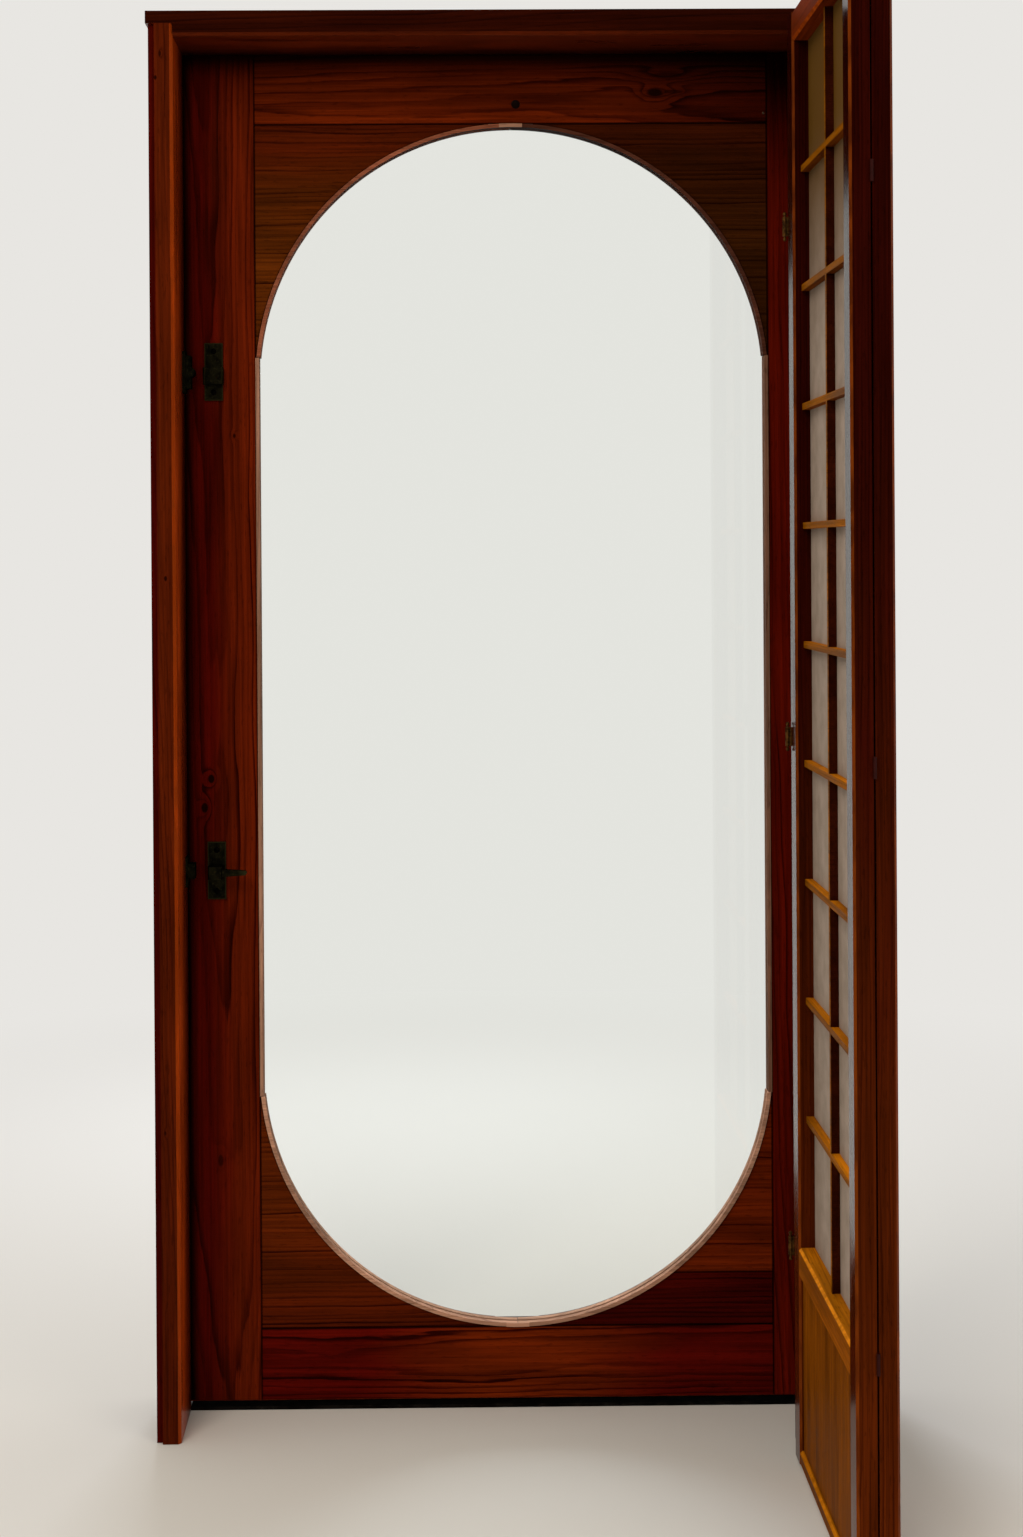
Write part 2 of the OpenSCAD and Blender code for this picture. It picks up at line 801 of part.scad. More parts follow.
head();
left_jamb();
right_jamb();
threshold();
screen_post();
post_tie();
upper_keeper();
lower_keeper();
hinge_jamb_plates();
lock_stile();
hinge_stile();
top_rail();
bottom_rail();
corner_upper_left();
corner_upper_right();
corner_lower_left();
corner_lower_right();
glass();
rim_arch_upper_left();
rim_arch_upper_right();
rim_side_left();
rim_side_right();
rim_arch_lower_left();
rim_arch_lower_right();
rim_keys();
upper_lock();
lever_plate();
outer_lever_plate();
key_plate();
hinge_door_plates();
room_lever();
outer_lever();
screen_hinges();
fold_hinges();
front_far_stile();
front_near_stile();
front_top_rail();
front_middle_rail();
front_bottom_rail();
front_lattice();
front_paper();
front_board();
back_far_stile();
back_near_stile();
back_top_rail();
back_middle_rail();
back_bottom_rail();
back_lattice();
back_paper();
back_board();
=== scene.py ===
import math

import bmesh
import bpy
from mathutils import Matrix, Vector


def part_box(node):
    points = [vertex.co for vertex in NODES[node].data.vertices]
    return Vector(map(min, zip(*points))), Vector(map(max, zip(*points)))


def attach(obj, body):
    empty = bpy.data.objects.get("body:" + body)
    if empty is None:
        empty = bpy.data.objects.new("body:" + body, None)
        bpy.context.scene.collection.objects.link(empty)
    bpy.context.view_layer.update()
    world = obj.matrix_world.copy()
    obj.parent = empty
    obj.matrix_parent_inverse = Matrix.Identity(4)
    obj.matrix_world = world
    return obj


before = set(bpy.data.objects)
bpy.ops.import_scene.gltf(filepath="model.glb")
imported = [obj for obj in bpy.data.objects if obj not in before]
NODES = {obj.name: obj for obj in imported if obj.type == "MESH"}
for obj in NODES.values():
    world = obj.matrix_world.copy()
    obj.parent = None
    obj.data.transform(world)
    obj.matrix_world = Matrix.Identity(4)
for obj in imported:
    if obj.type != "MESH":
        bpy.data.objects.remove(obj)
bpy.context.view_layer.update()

bl_info = {
    "name": "Round-Windowed Door Set",
    "version": (1, 0, 0),
    "blender": (4, 5, 0),
    "location": "View3D > Sidebar > Door Set",
    "description": "Finishes a timber door set with a round-ended pane and a folding paper screen",
    "category": "Object",
}

MM = 0.001


def linear(code):
    """An sRGB hex colour as linear RGBA."""
    shares = [int(code[k:k + 2], 16) / 255 for k in (1, 3, 5)]
    return tuple(s / 12.92 if s <= 0.04045 else ((s + 0.055) / 1.055) ** 2.4 for s in shares) + (1.0,)


def colour_prop(label, code, text):
    return bpy.props.FloatVectorProperty(
        name=label, description=text, subtype="COLOR", size=4, min=0, max=1, default=linear(code))


def length_prop(label, size, text):
    return bpy.props.FloatProperty(
        name=label, description=text, subtype="DISTANCE", unit="LENGTH", min=0, default=size * MM)


# Settings

class StageSettings(bpy.types.PropertyGroup):
    camera_place: bpy.props.FloatVectorProperty(
        name="Camera Place", description="Where the camera stands, in front of the leaf",
        subtype="TRANSLATION", unit="LENGTH", default=(-0.109, -2.939, 1.148))
    camera_turn: bpy.props.FloatVectorProperty(
        name="Camera Turn", description="Pitch down, lean and turn to the left of the camera",
        subtype="EULER", default=[math.radians(angle) for angle in (0.16, 0.36, -0.61)])
    lens_px: bpy.props.FloatProperty(
        name="Lens", description="Focal length in pixels of the photograph", default=2183.0)
    centre_px: bpy.props.FloatVectorProperty(
        name="Lens Axis", description="Pixel that the lens's axis meets", size=2, default=(455.4, 559.6))
    floor_colour: colour_prop("Floor", "#dcd8d0", "Colour of the studio floor")
    backdrop_colour: colour_prop("Backdrop", "#e8e6e2", "Colour of the studio backdrop")


class FinishSettings(bpy.types.PropertyGroup):
    # The head's tone is darker than the jambs': painted shade
    head_tone: colour_prop("Head", "#230601", "Stained timber of the head")
    jamb_tone: colour_prop("Jambs", "#471403", "Stained timber of the jambs")
    lock_stile_tone: colour_prop("Lock Stile", "#521503", "Stained timber of the lock stile")
    hinge_stile_tone: colour_prop("Hinge Stile", "#500c02", "Stained timber of the hinge stile")
    top_rail_tone: colour_prop("Top Rail", "#5a1a03", "Stained timber of the top rail")
    bottom_rail_tone: colour_prop("Bottom Rail", "#5c1b03", "Stained timber of the bottom rail")
    corner_tone: colour_prop("Corner Boards", "#4e1e04", "Stained boards round the arches")
    # Crimson is partly the stain and partly painted shade along edges that lie in shadow
    crimson_stain_and_shade_tone: colour_prop("Crimson", "#420602", "Where the frame's and the leaf's stain lies deepest")
    rim_tone: colour_prop("Rim", "#b08068", "Bent timber round the pane")
    screen_tone: colour_prop("Screen Stiles", "#461803", "Cedar of the screen's stiles, at their feet")
    # Painted shade: the screen's stiles darker higher up
    shaded_stile_tone: colour_prop("Screen Stiles Above", "#260502", "The same cedar, darker higher up")
    bar_tone: colour_prop("Screen Bars", "#2c0c03", "Cedar of the lattice")
    # Painted light: the rails paler than the stiles of the same cedar
    lit_rail_tone: colour_prop("Screen Rails", "#7e4006", "Paler cedar of the screen's rails")
    # Painted light: golden upper faces of the screen's rails and bars
    lit_top_tone: colour_prop("Gold", "#aa6008", "Bleached upper faces of rails and bars")
    board_tone: colour_prop("Screen Boards", "#703803", "Boards at the screen's foot")
    paper_tone: colour_prop("Paper", "#ab9888", "Paper on the screen's lattice")
    bronze_tone: colour_prop("Bronze", "#17150a", "Aged bronze of the locks")
    iron_tone: colour_prop("Screws", "#070504", "Dark iron of the locks' screws")
    brass_tone: colour_prop("Brass", "#5c3c1a", "Worn brass of the screen's hinges")


class FixingSettings(bpy.types.PropertyGroup):
    lock_screw_d: length_prop("Lock Screws", 7.6, "Diameter of the screw heads on the lock plates")
    hinge_screw_d: length_prop("Hinge Screws", 8.0, "Diameter of the flush screw heads on the door's hinges")
    screw_rise: length_prop("Head Height", 1.5, "How far a lock plate's screws stand proud at most")
    flush_rise: length_prop("Flush Height", 0.3, "How far a hinge's screws stand proud at most")
    plug_d: length_prop("Plug", 12.0, "Diameter of the dark plug in the top rail")
    nail_d: length_prop("Nail", 3.6, "Diameter of the nail head in the top rail")


# Helpers

def add_node(tree, kind, links=(), **settings):
    """Adds a shader node; links gives its inputs in order, or maps them by name or number.

    An input takes a value, an output of another node, or a node, which stands for its first live output.
    """
    node = tree.nodes.new("ShaderNode" + kind)
    for name, value in settings.items():
        setattr(node, name, value)
    for key, value in links.items() if isinstance(links, dict) else enumerate(links):
        if isinstance(value, bpy.types.Node):
            value = next(output for output in value.outputs if output.enabled)
        if isinstance(value, bpy.types.NodeSocket):
            tree.links.new(value, node.inputs[key])
        else:
            node.inputs[key].default_value = value
    return node


def new_material(name):
    """A material with an empty node tree."""
    material = bpy.data.materials.new(name)
    material.use_nodes = True
    material.node_tree.nodes.clear()
    return material, material.node_tree


def paint(obj, material):
    obj.data.materials.clear()
    obj.data.materials.append(material)


def paint_node(name, material):
    """Gives a CAD node its material through its slot, without touching the mesh."""
    obj = NODES[name]
    if not obj.material_slots:
        obj.data.materials.append(material)
    for slot in obj.material_slots:
        slot.link = "OBJECT"
        slot.material = material


def cells(tree, vector, sizes, shift=0.0, detail=2.0, twist=0.0):
    """Noise whose cells measure these millimetres along each axis."""
    scaled = add_node(tree, "Mapping", {"Vector": vector, "Location": (shift, shift * 0.7, shift * 1.3),
                                        "Scale": tuple(1 / (MM * size) for size in sizes)})
    return add_node(tree, "TexNoise", {"Vector": scaled, "Scale": 1.0, "Detail": detail,
                                       "Distortion": twist})


def shaded(tree, colour, share):
    """A colour made darker or lighter by a value."""
    grey = add_node(tree, "CombineColor", (share, share, share))
    return add_node(tree, "Mix", {"Factor": 1.0, "A": colour, "B": grey}, data_type="RGBA",
                    blend_type="MULTIPLY")


def tint(colour, *shares):
    """A colour with its channels multiplied, by one share or by three."""
    shares = shares * 3 if len(shares) == 1 else shares
    return tuple(min(1.0, c * share) for c, share in zip(colour, shares)) + (1.0,)


def apart(tree, coords, axis, at):
    """How far a place lies from a plane across an axis, or for R from a (height, radius) round along Y."""
    value = coords.get(axis)
    if axis == "R":
        height, at = at
        rise = add_node(tree, "Math", (coords["Z"], height * MM), operation="SUBTRACT")
        level = add_node(tree, "Math", (coords["X"], coords["X"]), operation="MULTIPLY")
        square = add_node(tree, "Math", (rise, rise, level), operation="MULTIPLY_ADD")
        value = add_node(tree, "Math", (square,), operation="SQRT")
    gap = add_node(tree, "Math", (value, at * MM), operation="SUBTRACT")
    return add_node(tree, "Math", (gap,), operation="ABSOLUTE")


def mirrored_or_seen(tree):
    """1 for rays that show the backdrop to the eye: straight, in gloss or through glass."""
    path = add_node(tree, "LightPath").outputs
    direct = add_node(tree, "Math", (path["Is Camera Ray"], path["Is Transmission Ray"]),
                      operation="MAXIMUM")
    return add_node(tree, "Math", (direct, path["Is Glossy Ray"]), operation="MAXIMUM")


def centre_of(node):
    low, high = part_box(node)
    return (low + high) / 2


# Timber

GRAIN_TURN = {"X": (0, -math.pi / 2, 0), "Y": (math.pi / 2, 0, 0), "Z": (0, 0, 0)}
# Sizes in millimetres across and along the grain. Real fibres are about 0.03 mm wide and are drawn
# coarser, so that they show from a few metres.
FIBRE = (1.1, 1.1, 70)
STREAK = (3.6, 3.6, 300)
FRAY = (9, 9, 120)
PORE = (2.2, 2.2, 16)
FADE = (24, 24, 260)
DRIFT = (36, 36, 230)
WANDER = (110, 110, 600)
SCUFF = (12, 12, 40)
# Most of a noise's values lie between these
MOST = (0.3, 0.7)
# How dark a year's wood is on its way, from light at its start to light again at its end
LATEWOOD = ((0.5, 0.08), (0.74, 0.7), (0.92, 1.0))
# What the palest and the darkest wood of a year, a knot's eye and a worn edge with its painted highlight
# make of the stain's colour
EARLY, LATE = (1.16, 1.22, 1.2, 1), (0.2, 0.11, 0.2, 1)
EYE, WORN_AND_LIT = (0.08, 0.08, 0.14), (3.6, 4.6, 3.0)
# A joint's dark line: where it begins to fade and ends, and the share of light left in it and beside it
SEAM = (0.5 * MM, 1.9 * MM, 0.14, 1.0)
# How much light the deepest painted shade takes
PAINTED_SHADE_DEPTH = 0.94
# How far a normal leans to a side before its face begins to count as facing it, and when it does in
# full: for a side's painted light and for painted shade
LEANS, FACES, FACES_SHADE = 0.2, 0.9, 0.7
# The noise values between which growth lines fade, worn edges break up and streaks turn light
FADE_SPAN, SCUFF_SPAN, STREAK_SPAN = (0.36, 0.64), (0.38, 0.62), (0.34, 0.66)
# Satin varnish over stain: a low warm gloss that leaves the stain deep
VARNISH = {"rough": 0.3, "level": 0.2, "tint": linear("#6a3018"), "relief": 0.16}
# Planed and oiled timber: a soft, wide gloss
OILED = {"rough": 0.5, "level": 0.01, "tint": linear("#c8925a"), "relief": 0.16}
# Oiled stiles rubbed smooth by hands: at a low angle they mirror the pane's daylight
RUBBED = {"rough": 0.15, "level": 0.1, "tint": linear("#5a2810"), "relief": 0.0}


def knot_field(tree, place, turn, knots, ring):
    """How many rings each knot pushes its surroundings by, and the dark eyes.

    Distances are in a knot's own sizes. The push is greatest at the eye and eases off steeply.
    """
    reach, steepness, push = 3.4, 2.2, 1.7
    eye_rim, eye_end = 0.42, 0.8
    swing = eye = 0.0
    for x, y, z, size, stretch, dark in knots:
        away = add_node(tree, "VectorMath", (place, (x * MM, y * MM, z * MM)), operation="SUBTRACT")
        turned = add_node(tree, "Mapping", {"Vector": away, "Rotation": turn})
        share = 1 / (MM * size)
        squeezed = add_node(tree, "VectorMath", (turned, (share, share, share / stretch)),
                            operation="MULTIPLY")
        gap = add_node(tree, "VectorMath", (squeezed,), operation="LENGTH")
        near = add_node(tree, "MapRange", (gap, 0.0, reach, 1.0, 0.0), interpolation_type="SMOOTHSTEP")
        bump = add_node(tree, "Math", (near, steepness), operation="POWER")
        swing = add_node(tree, "Math", (bump, push * size / ring, swing), operation="MULTIPLY_ADD")
        core = add_node(tree, "MapRange", (gap, eye_rim, eye_end, dark, 0.0),
                        interpolation_type="SMOOTHSTEP")
        eye = add_node(tree, "Math", (eye, core), operation="MAXIMUM")
    return swing, eye


def arris_wear_and_highlight(tree, normal_sizes):
    """Picks a square piece's chamfers, whose normals lie along no axis, broken up along their length: for
    wear and a painted highlight.
    """
    # The largest part of a normal that looks straight along an axis is 1, and a chamfer's is 0.71
    square, slanted = 0.97, 0.86
    x, y, z = add_node(tree, "SeparateXYZ", (normal_sizes,)).outputs
    flat = add_node(tree, "Math", (x, y), operation="MAXIMUM")
    flat = add_node(tree, "Math", (flat, z), operation="MAXIMUM")
    chamfer = add_node(tree, "MapRange", (flat, square, slanted))
    place = add_node(tree, "TexCoord").outputs["Object"]
    broken = add_node(tree, "MapRange", (cells(tree, place, SCUFF, detail=3.0), *SCUFF_SPAN, 0.35, 1.0))
    return add_node(tree, "Math", (chamfer, broken), operation="MULTIPLY")


def growth(tree, board, pith, ring, lean, wander, fray, seed):
    """How many rings lie between a place and the pith, which wanders and frays along the trunk."""
    slow = cells(tree, board, WANDER, seed).outputs["Color"]
    shift = add_node(tree, "VectorMath", (slow, (0.5, 0.5, 0.5)), operation="SUBTRACT")
    push = add_node(tree, "VectorMath", {0: shift, "Scale": wander * MM}, operation="SCALE")
    leaned = add_node(tree, "Mapping", {
        "Vector": board, "Rotation": (math.radians(lean), math.radians(lean * 0.6), 0),
        "Location": (pith[0] * MM, pith[1] * MM, 0)})
    grown = add_node(tree, "VectorMath", (leaned, push), operation="ADD")
    flat = add_node(tree, "VectorMath", (grown, (1, 1, 0)), operation="MULTIPLY")
    radius = add_node(tree, "VectorMath", (flat,), operation="LENGTH")
    rough = add_node(tree, "Math", (cells(tree, board, FRAY, seed, detail=3.0), fray), operation="MULTIPLY")
    return add_node(tree, "Math", (radius, 1 / (MM * ring), rough), operation="MULTIPLY_ADD")


def growth_lines(tree, board, rings, contrast, seed):
    """Each year darkens slowly to its latewood and ends sharply, some years more than others."""
    late = add_node(tree, "ValToRGB", (add_node(tree, "Math", (rings,), operation="FRACT"),))
    late.color_ramp.elements[1].color = (0, 0, 0, 1)
    for at, dark in LATEWOOD:
        late.color_ramp.elements.new(at).color = (dark, dark, dark, 1)
    year = add_node(tree, "Math", (rings,), operation="FLOOR")
    luck = add_node(tree, "TexWhiteNoise", {"W": year}, noise_dimensions="1D")
    strength = add_node(tree, "MapRange", (luck, 0.2, 0.9, 0.15 * contrast, contrast))
    fade = add_node(tree, "MapRange", (cells(tree, board, FADE, seed + 5), *FADE_SPAN, 0.45, 1.0))
    strength = add_node(tree, "Math", (strength, fade), operation="MULTIPLY")
    return add_node(tree, "Math", (late, strength), operation="MULTIPLY")


def timber(name, tone, along, centre, pith=(20, 70), ring=5.0, lean=1.2, wander=34.0, fray=0.5, contrast=0.9,
           knots=(), seed=0.0, finish=VARNISH, wear=0.5, stain=None, seams=(), grime=(), sides=()):
    """Sawn timber: growth rings round a pith beside the board, cut by its faces, under a finish.

    pith, ring and wander are in millimetres, lean in degrees and fray in rings. A knot is x, y, z, its
    size, its stretch along the grain and its darkness. A stain and shade band is (axis, middle, near, far,
    tone), partly stain and partly painted shade, and turns to its tone between those distances from the
    middle. Seams are the dark (axis, at) joints with other pieces. Painted shade is (axis, at, reach) and
    fades over its reach from there, on all faces or only on those named by an added (axis, way). Sides lit
    or raw are (axis, way, tone), for the faces that look that way: mostly painted light and shade, else
    the face's bare colour.
    """
    material, tree = new_material(name)
    source = add_node(tree, "TexCoord").outputs
    place = source["Object"]
    coords = add_node(tree, "SeparateXYZ", (place,)).outputs
    looks = add_node(tree, "SeparateXYZ", (source["Normal"],)).outputs
    turn = Vector(GRAIN_TURN[along])
    centred = add_node(tree, "VectorMath", (place, centre), operation="SUBTRACT")
    board = add_node(tree, "Mapping", {"Vector": centred, "Rotation": turn})
    rings = growth(tree, board, pith, ring, lean, wander, fray, seed)
    if knots:
        swing, eye = knot_field(tree, place, turn, knots, ring)
        rings = add_node(tree, "Math", (rings, swing), operation="ADD")
    line = growth_lines(tree, board, rings, contrast, seed)
    # The stain's own colour and its deep band, which is partly painted shade, its slow drift, and painted
    # light and shade on faces that look one way
    drift = cells(tree, board, DRIFT, seed * 2, detail=3.0)
    base = tone
    # A band of deeper tone: partly stain, partly painted shade where a piece's edge lies in shadow
    if stain:
        axis, middle, near, far, deep = stain
        blur = 0.8 * (far - near) * MM
        offset = add_node(tree, "Math", (drift, 0.5), operation="SUBTRACT")
        reach = add_node(tree, "Math", (offset, blur, apart(tree, coords, axis, middle)),
                         operation="MULTIPLY_ADD")
        soaked = add_node(tree, "MapRange", (reach, near * MM, far * MM), interpolation_type="SMOOTHSTEP")
        base = add_node(tree, "Mix", {"Factor": soaked, "A": tone, "B": deep}, data_type="RGBA")
    # Painted light and shade: a face takes a paler or darker tone by the way it looks, as if lit or shaded
    for axis, way, shade in sides:
        facing = add_node(tree, "MapRange", (looks[axis], LEANS * way, FACES * way))
        base = add_node(tree, "Mix", {"Factor": facing, "A": base, "B": shade}, data_type="RGBA")
    grain = add_node(tree, "Mix", {"Factor": line, "A": EARLY, "B": LATE}, data_type="RGBA")
    colour = add_node(tree, "Mix", {"Factor": 1.0, "A": base, "B": grain}, data_type="RGBA",
                      blend_type="MULTIPLY")
    # Shares of light: fibres, drift, finer streaks between the rings, open pores, seams and painted shade
    fibre = cells(tree, board, FIBRE)
    streak = cells(tree, board, STREAK, seed + 9, detail=1.0)
    pore = cells(tree, board, PORE, seed, detail=1.0)
    shares = [add_node(tree, "MapRange", (fibre, *MOST, 0.84, 1.14)),
              add_node(tree, "MapRange", (drift, *MOST, 0.66, 1.3)),
              add_node(tree, "MapRange", (streak, *STREAK_SPAN, 0.8, 1.18)),
              add_node(tree, "MapRange", (pore, 0.62, 0.7, 1.0, 0.72))]
    for axis, at in seams:
        shares.append(add_node(tree, "MapRange", (apart(tree, coords, axis, at), *SEAM),
                               interpolation_type="SMOOTHSTEP"))
    # Painted shade: darkness that fades out from where shade falls, such as under the head and beside the
    # jambs
    for axis, at, reach, *facing in grime:
        shade_amount = add_node(tree, "MapRange", (apart(tree, coords, axis, at), 0.0, reach * MM, PAINTED_SHADE_DEPTH, 0.0),
                        interpolation_type="SMOOTHSTEP")
        for side, way in facing:
            turned = add_node(tree, "MapRange", (looks[side], LEANS * way, FACES_SHADE * way))
            shade_amount = add_node(tree, "Math", (shade_amount, turned), operation="MULTIPLY")
        shares.append(add_node(tree, "Math", (1.0, shade_amount), operation="SUBTRACT"))
    light = 1.0
    for share in shares:
        light = add_node(tree, "Math", (light, share), operation="MULTIPLY")
    colour = shaded(tree, colour, light)
    if knots:
        colour = add_node(tree, "Mix", {"Factor": eye, "A": colour, "B": tint(tone, *EYE)},
                          data_type="RGBA")
    # Chamfers turn pale and golden: partly wear, partly a painted highlight where an arris catches light
    normal_sizes = add_node(tree, "VectorMath", (source["Normal"],), operation="ABSOLUTE")
    worn = add_node(tree, "Math", (arris_wear_and_highlight(tree, normal_sizes), wear), operation="MULTIPLY")
    colour = add_node(tree, "Mix", {"Factor": worn, "A": colour, "B": tint(tone, *WORN_AND_LIT)}, data_type="RGBA")
    height = add_node(tree, "Math", (fibre, 0.5), operation="MULTIPLY")
    height = add_node(tree, "Math", (height, line), operation="SUBTRACT")
    normal = add_node(tree, "Bump", {"Height": height, "Strength": finish["relief"], "Distance": 0.6 * MM})
    dull = add_node(tree, "MapRange", (drift, *MOST, finish["rough"] - 0.05, finish["rough"] + 0.1))
    shader = add_node(tree, "BsdfPrincipled", {
        "Base Color": colour, "Roughness": dull, "Normal": normal, "Specular IOR Level": finish["level"],
        "Specular Tint": finish["tint"]})
    add_node(tree, "OutputMaterial", {"Surface": shader})
    return material


def board(kind, node, tone, along, **grain):
    """Makes a node's own board, cut from its own place in a log."""
    paint_node(node, timber(kind + "_" + node, tone, along, centre_of(node), **grain))


# Stage

class DOORSET_OT_stage(bpy.types.Operator):
    """Sets the camera, the lamps, the backdrop and the pale floor"""
    bl_idname = "doorset.stage"
    bl_label = "Stage"

    def execute(self, context):
        look = context.scene.doorset_stage
        context.scene.view_settings.view_transform = "Standard"
        self.camera(context, look)
        self.world(context, look)
        self.floor(look)
        self.lamps()
        return {"FINISHED"}

    def camera(self, context, look):
        frame_px = (1023, 1537)
        pitch, lean, turn = look.camera_turn
        bpy.ops.object.camera_add(location=look.camera_place, rotation=(math.pi / 2 - pitch, lean, turn))
        camera = context.object
        camera.name = "photo_view"
        lens = camera.data
        lens.sensor_fit = "VERTICAL"
        lens.sensor_height = 36.0
        lens.lens = look.lens_px / frame_px[1] * lens.sensor_height
        lens.shift_x = (frame_px[0] / 2 - look.centre_px[0]) / frame_px[1]
        lens.shift_y = -(frame_px[1] / 2 - look.centre_px[1]) / frame_px[1]
        lens.clip_end = 100.0
        context.scene.camera = camera

    def world(self, context, look):
        world = bpy.data.worlds.new("studio")
        context.scene.world = world
        world.use_nodes = True
        tree = world.node_tree
        tree.nodes.clear()
        # The room's walls and ceiling: light comes in from above, and less from the level
        way = add_node(tree, "TexCoord").outputs["Generated"]
        rise = add_node(tree, "SeparateXYZ", (way,)).outputs["Z"]
        strength = add_node(tree, "MapRange", (rise, 0.0, 0.7, 0.34, 0.66))
        ambient = add_node(tree, "Background", {"Color": (1.0, 0.97, 0.93, 1), "Strength": strength})
        backdrop = add_node(tree, "Background", {"Color": look.backdrop_colour, "Strength": 1.0})
        both = add_node(tree, "MixShader", (mirrored_or_seen(tree), ambient, backdrop))
        add_node(tree, "OutputWorld", {"Surface": both})

    def floor(self, look):
        """A floor that fades into the backdrop away from the door set."""
        fade_from, fade_to = 0.5, 2.8
        bpy.ops.mesh.primitive_circle_add(vertices=96, radius=14.0, fill_type="NGON",
                                          location=(0, 0, -0.5 * MM))
        floor = bpy.context.object
        floor.name = "floor"
        material, tree = new_material("floor_paint")
        place = add_node(tree, "TexCoord").outputs["Object"]
        away = add_node(tree, "VectorMath", (place,), operation="LENGTH")
        coat = add_node(tree, "BsdfPrincipled", {"Base Color": look.floor_colour, "Roughness": 0.7,
                                                 "Specular IOR Level": 0.2})
        haze = add_node(tree, "Emission", {"Color": look.backdrop_colour, "Strength": 1.0})
        # The haze is seen straight, in gloss and through the pane, and lights nothing
        far = add_node(tree, "MapRange", (away, fade_from, fade_to), interpolation_type="SMOOTHSTEP")
        share = add_node(tree, "Math", (far, mirrored_or_seen(tree)), operation="MULTIPLY")
        both = add_node(tree, "MixShader", (share, coat, haze))
        add_node(tree, "OutputMaterial", {"Surface": both})
        paint(floor, material)

    def lamps(self):
        """A high key in front, a fill at the right and cool light from outside, which edges the screen.

        Gloss mirrors the pale backdrop instead of the lamps, which would lie in the pane as white squares.
        """
        for name, place, aim, size, power, tone in (
            ("key", (-1.4, -3.4, 3.4), (0.0, -0.1, 0.9), 2.0, 80.0, "#fff4e6"),
            ("fill", (2.4, -2.9, 1.2), (-0.2, 0.0, 0.9), 2.0, 26.0, "#fff0de"),
            ("daylight", (-0.3, 2.4, 1.58), (0.3, -0.3, 1.2), 1.1, 48.0, "#e6f0ff"),
        ):
            bpy.ops.object.light_add(type="AREA", location=place)
            lamp = bpy.context.object
            lamp.name = name
            lamp.data.size = size
            lamp.data.energy = power
            lamp.data.color = linear(tone)[:3]
            lamp.rotation_euler = (Vector(aim) - Vector(place)).to_track_quat("-Z", "Y").to_euler()
            lamp.visible_camera = False
            lamp.visible_transmission = False
            lamp.visible_glossy = False


# Frame and leaf

# Places in millimetres, read from the frame: the opening's sides and top, the stiles' and the rails'
# edges at the pane, and the height and radius of the half circles that end it
OPENING_X, OPENING_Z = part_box("right_jamb")[0].x / MM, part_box("head")[0].z / MM
PANE_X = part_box("hinge_stile")[0].x / MM
PANE_LOW, PANE_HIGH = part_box("bottom_rail")[1].z / MM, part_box("top_rail")[0].z / MM
ARCH_LOW, ARCH_HIGH = (PANE_LOW + PANE_X, PANE_X), (PANE_HIGH - PANE_X, PANE_X)


class DOORSET_OT_frame_timber(bpy.types.Operator):
    """Stains the jambs, the head, the screen's post and its tie"""
    bl_idname = "doorset.frame_timber"
    bl_label = "Frame Timber"

    def execute(self, context):
        # Stained and varnished cedar: deep red-brown, its grain faint under the stain
        look = context.scene.doorset_finish
        jamb = look.jamb_tone
        # The head's soffit gets painted light, paler than the jambs, and painted shade deepening towards the
        # leaf; its top keeps the jambs' bare colour
        board("varnished_cedar", "head", look.head_tone, "X", pith=(60, 34), ring=4.2, seed=6.8,
              contrast=0.8, grime=(("Y", 0, 62, ("Z", -1)),),
              sides=(("Z", -1, tint(jamb, 1.5)), ("Z", 1, jamb)))
        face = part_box("left_jamb")[0].y / MM
        # Each jamb's reveal gets painted light, far paler than its face, with painted shade deepening
        # towards the leaf; the set-back strip along the wall turns crimson, partly stain and partly painted
        # shade; the arrises take wear and a painted highlight
        for node, way, knots in (
            ("left_jamb", 1, ((-453, face, 1118, 3, 1.8, 0.9), (-462, face, 1764, 3, 1.6, 0.9),
                              (-458, face, 402, 2.2, 2.0, 0.8), (-456, face, 1795, 2.6, 2.4, 0.8))),
            ("right_jamb", -1, ()),
        ):
            board("varnished_cedar", node, jamb, "Z", pith=(26 * way, 58), ring=4.2, seed=15.3 + way,
                  contrast=0.8, wear=0.9, knots=knots, grime=(("Y", 0, 112, ("X", way)),),
                  stain=("X", -OPENING_X * way, 22, 25, tint(look.crimson_stain_and_shade_tone, 0.8)),
                  sides=(("X", way, tint(jamb, 6.2, 6.4, 2.4)),))
        board("varnished_cedar", "screen_post", look.head_tone, "Z", pith=(22, 48), ring=4.0, seed=18.7)
        board("varnished_cedar", "post_tie", look.head_tone, "Z", pith=(14, 52), ring=4.0, seed=13.6)
        return {"FINISHED"}


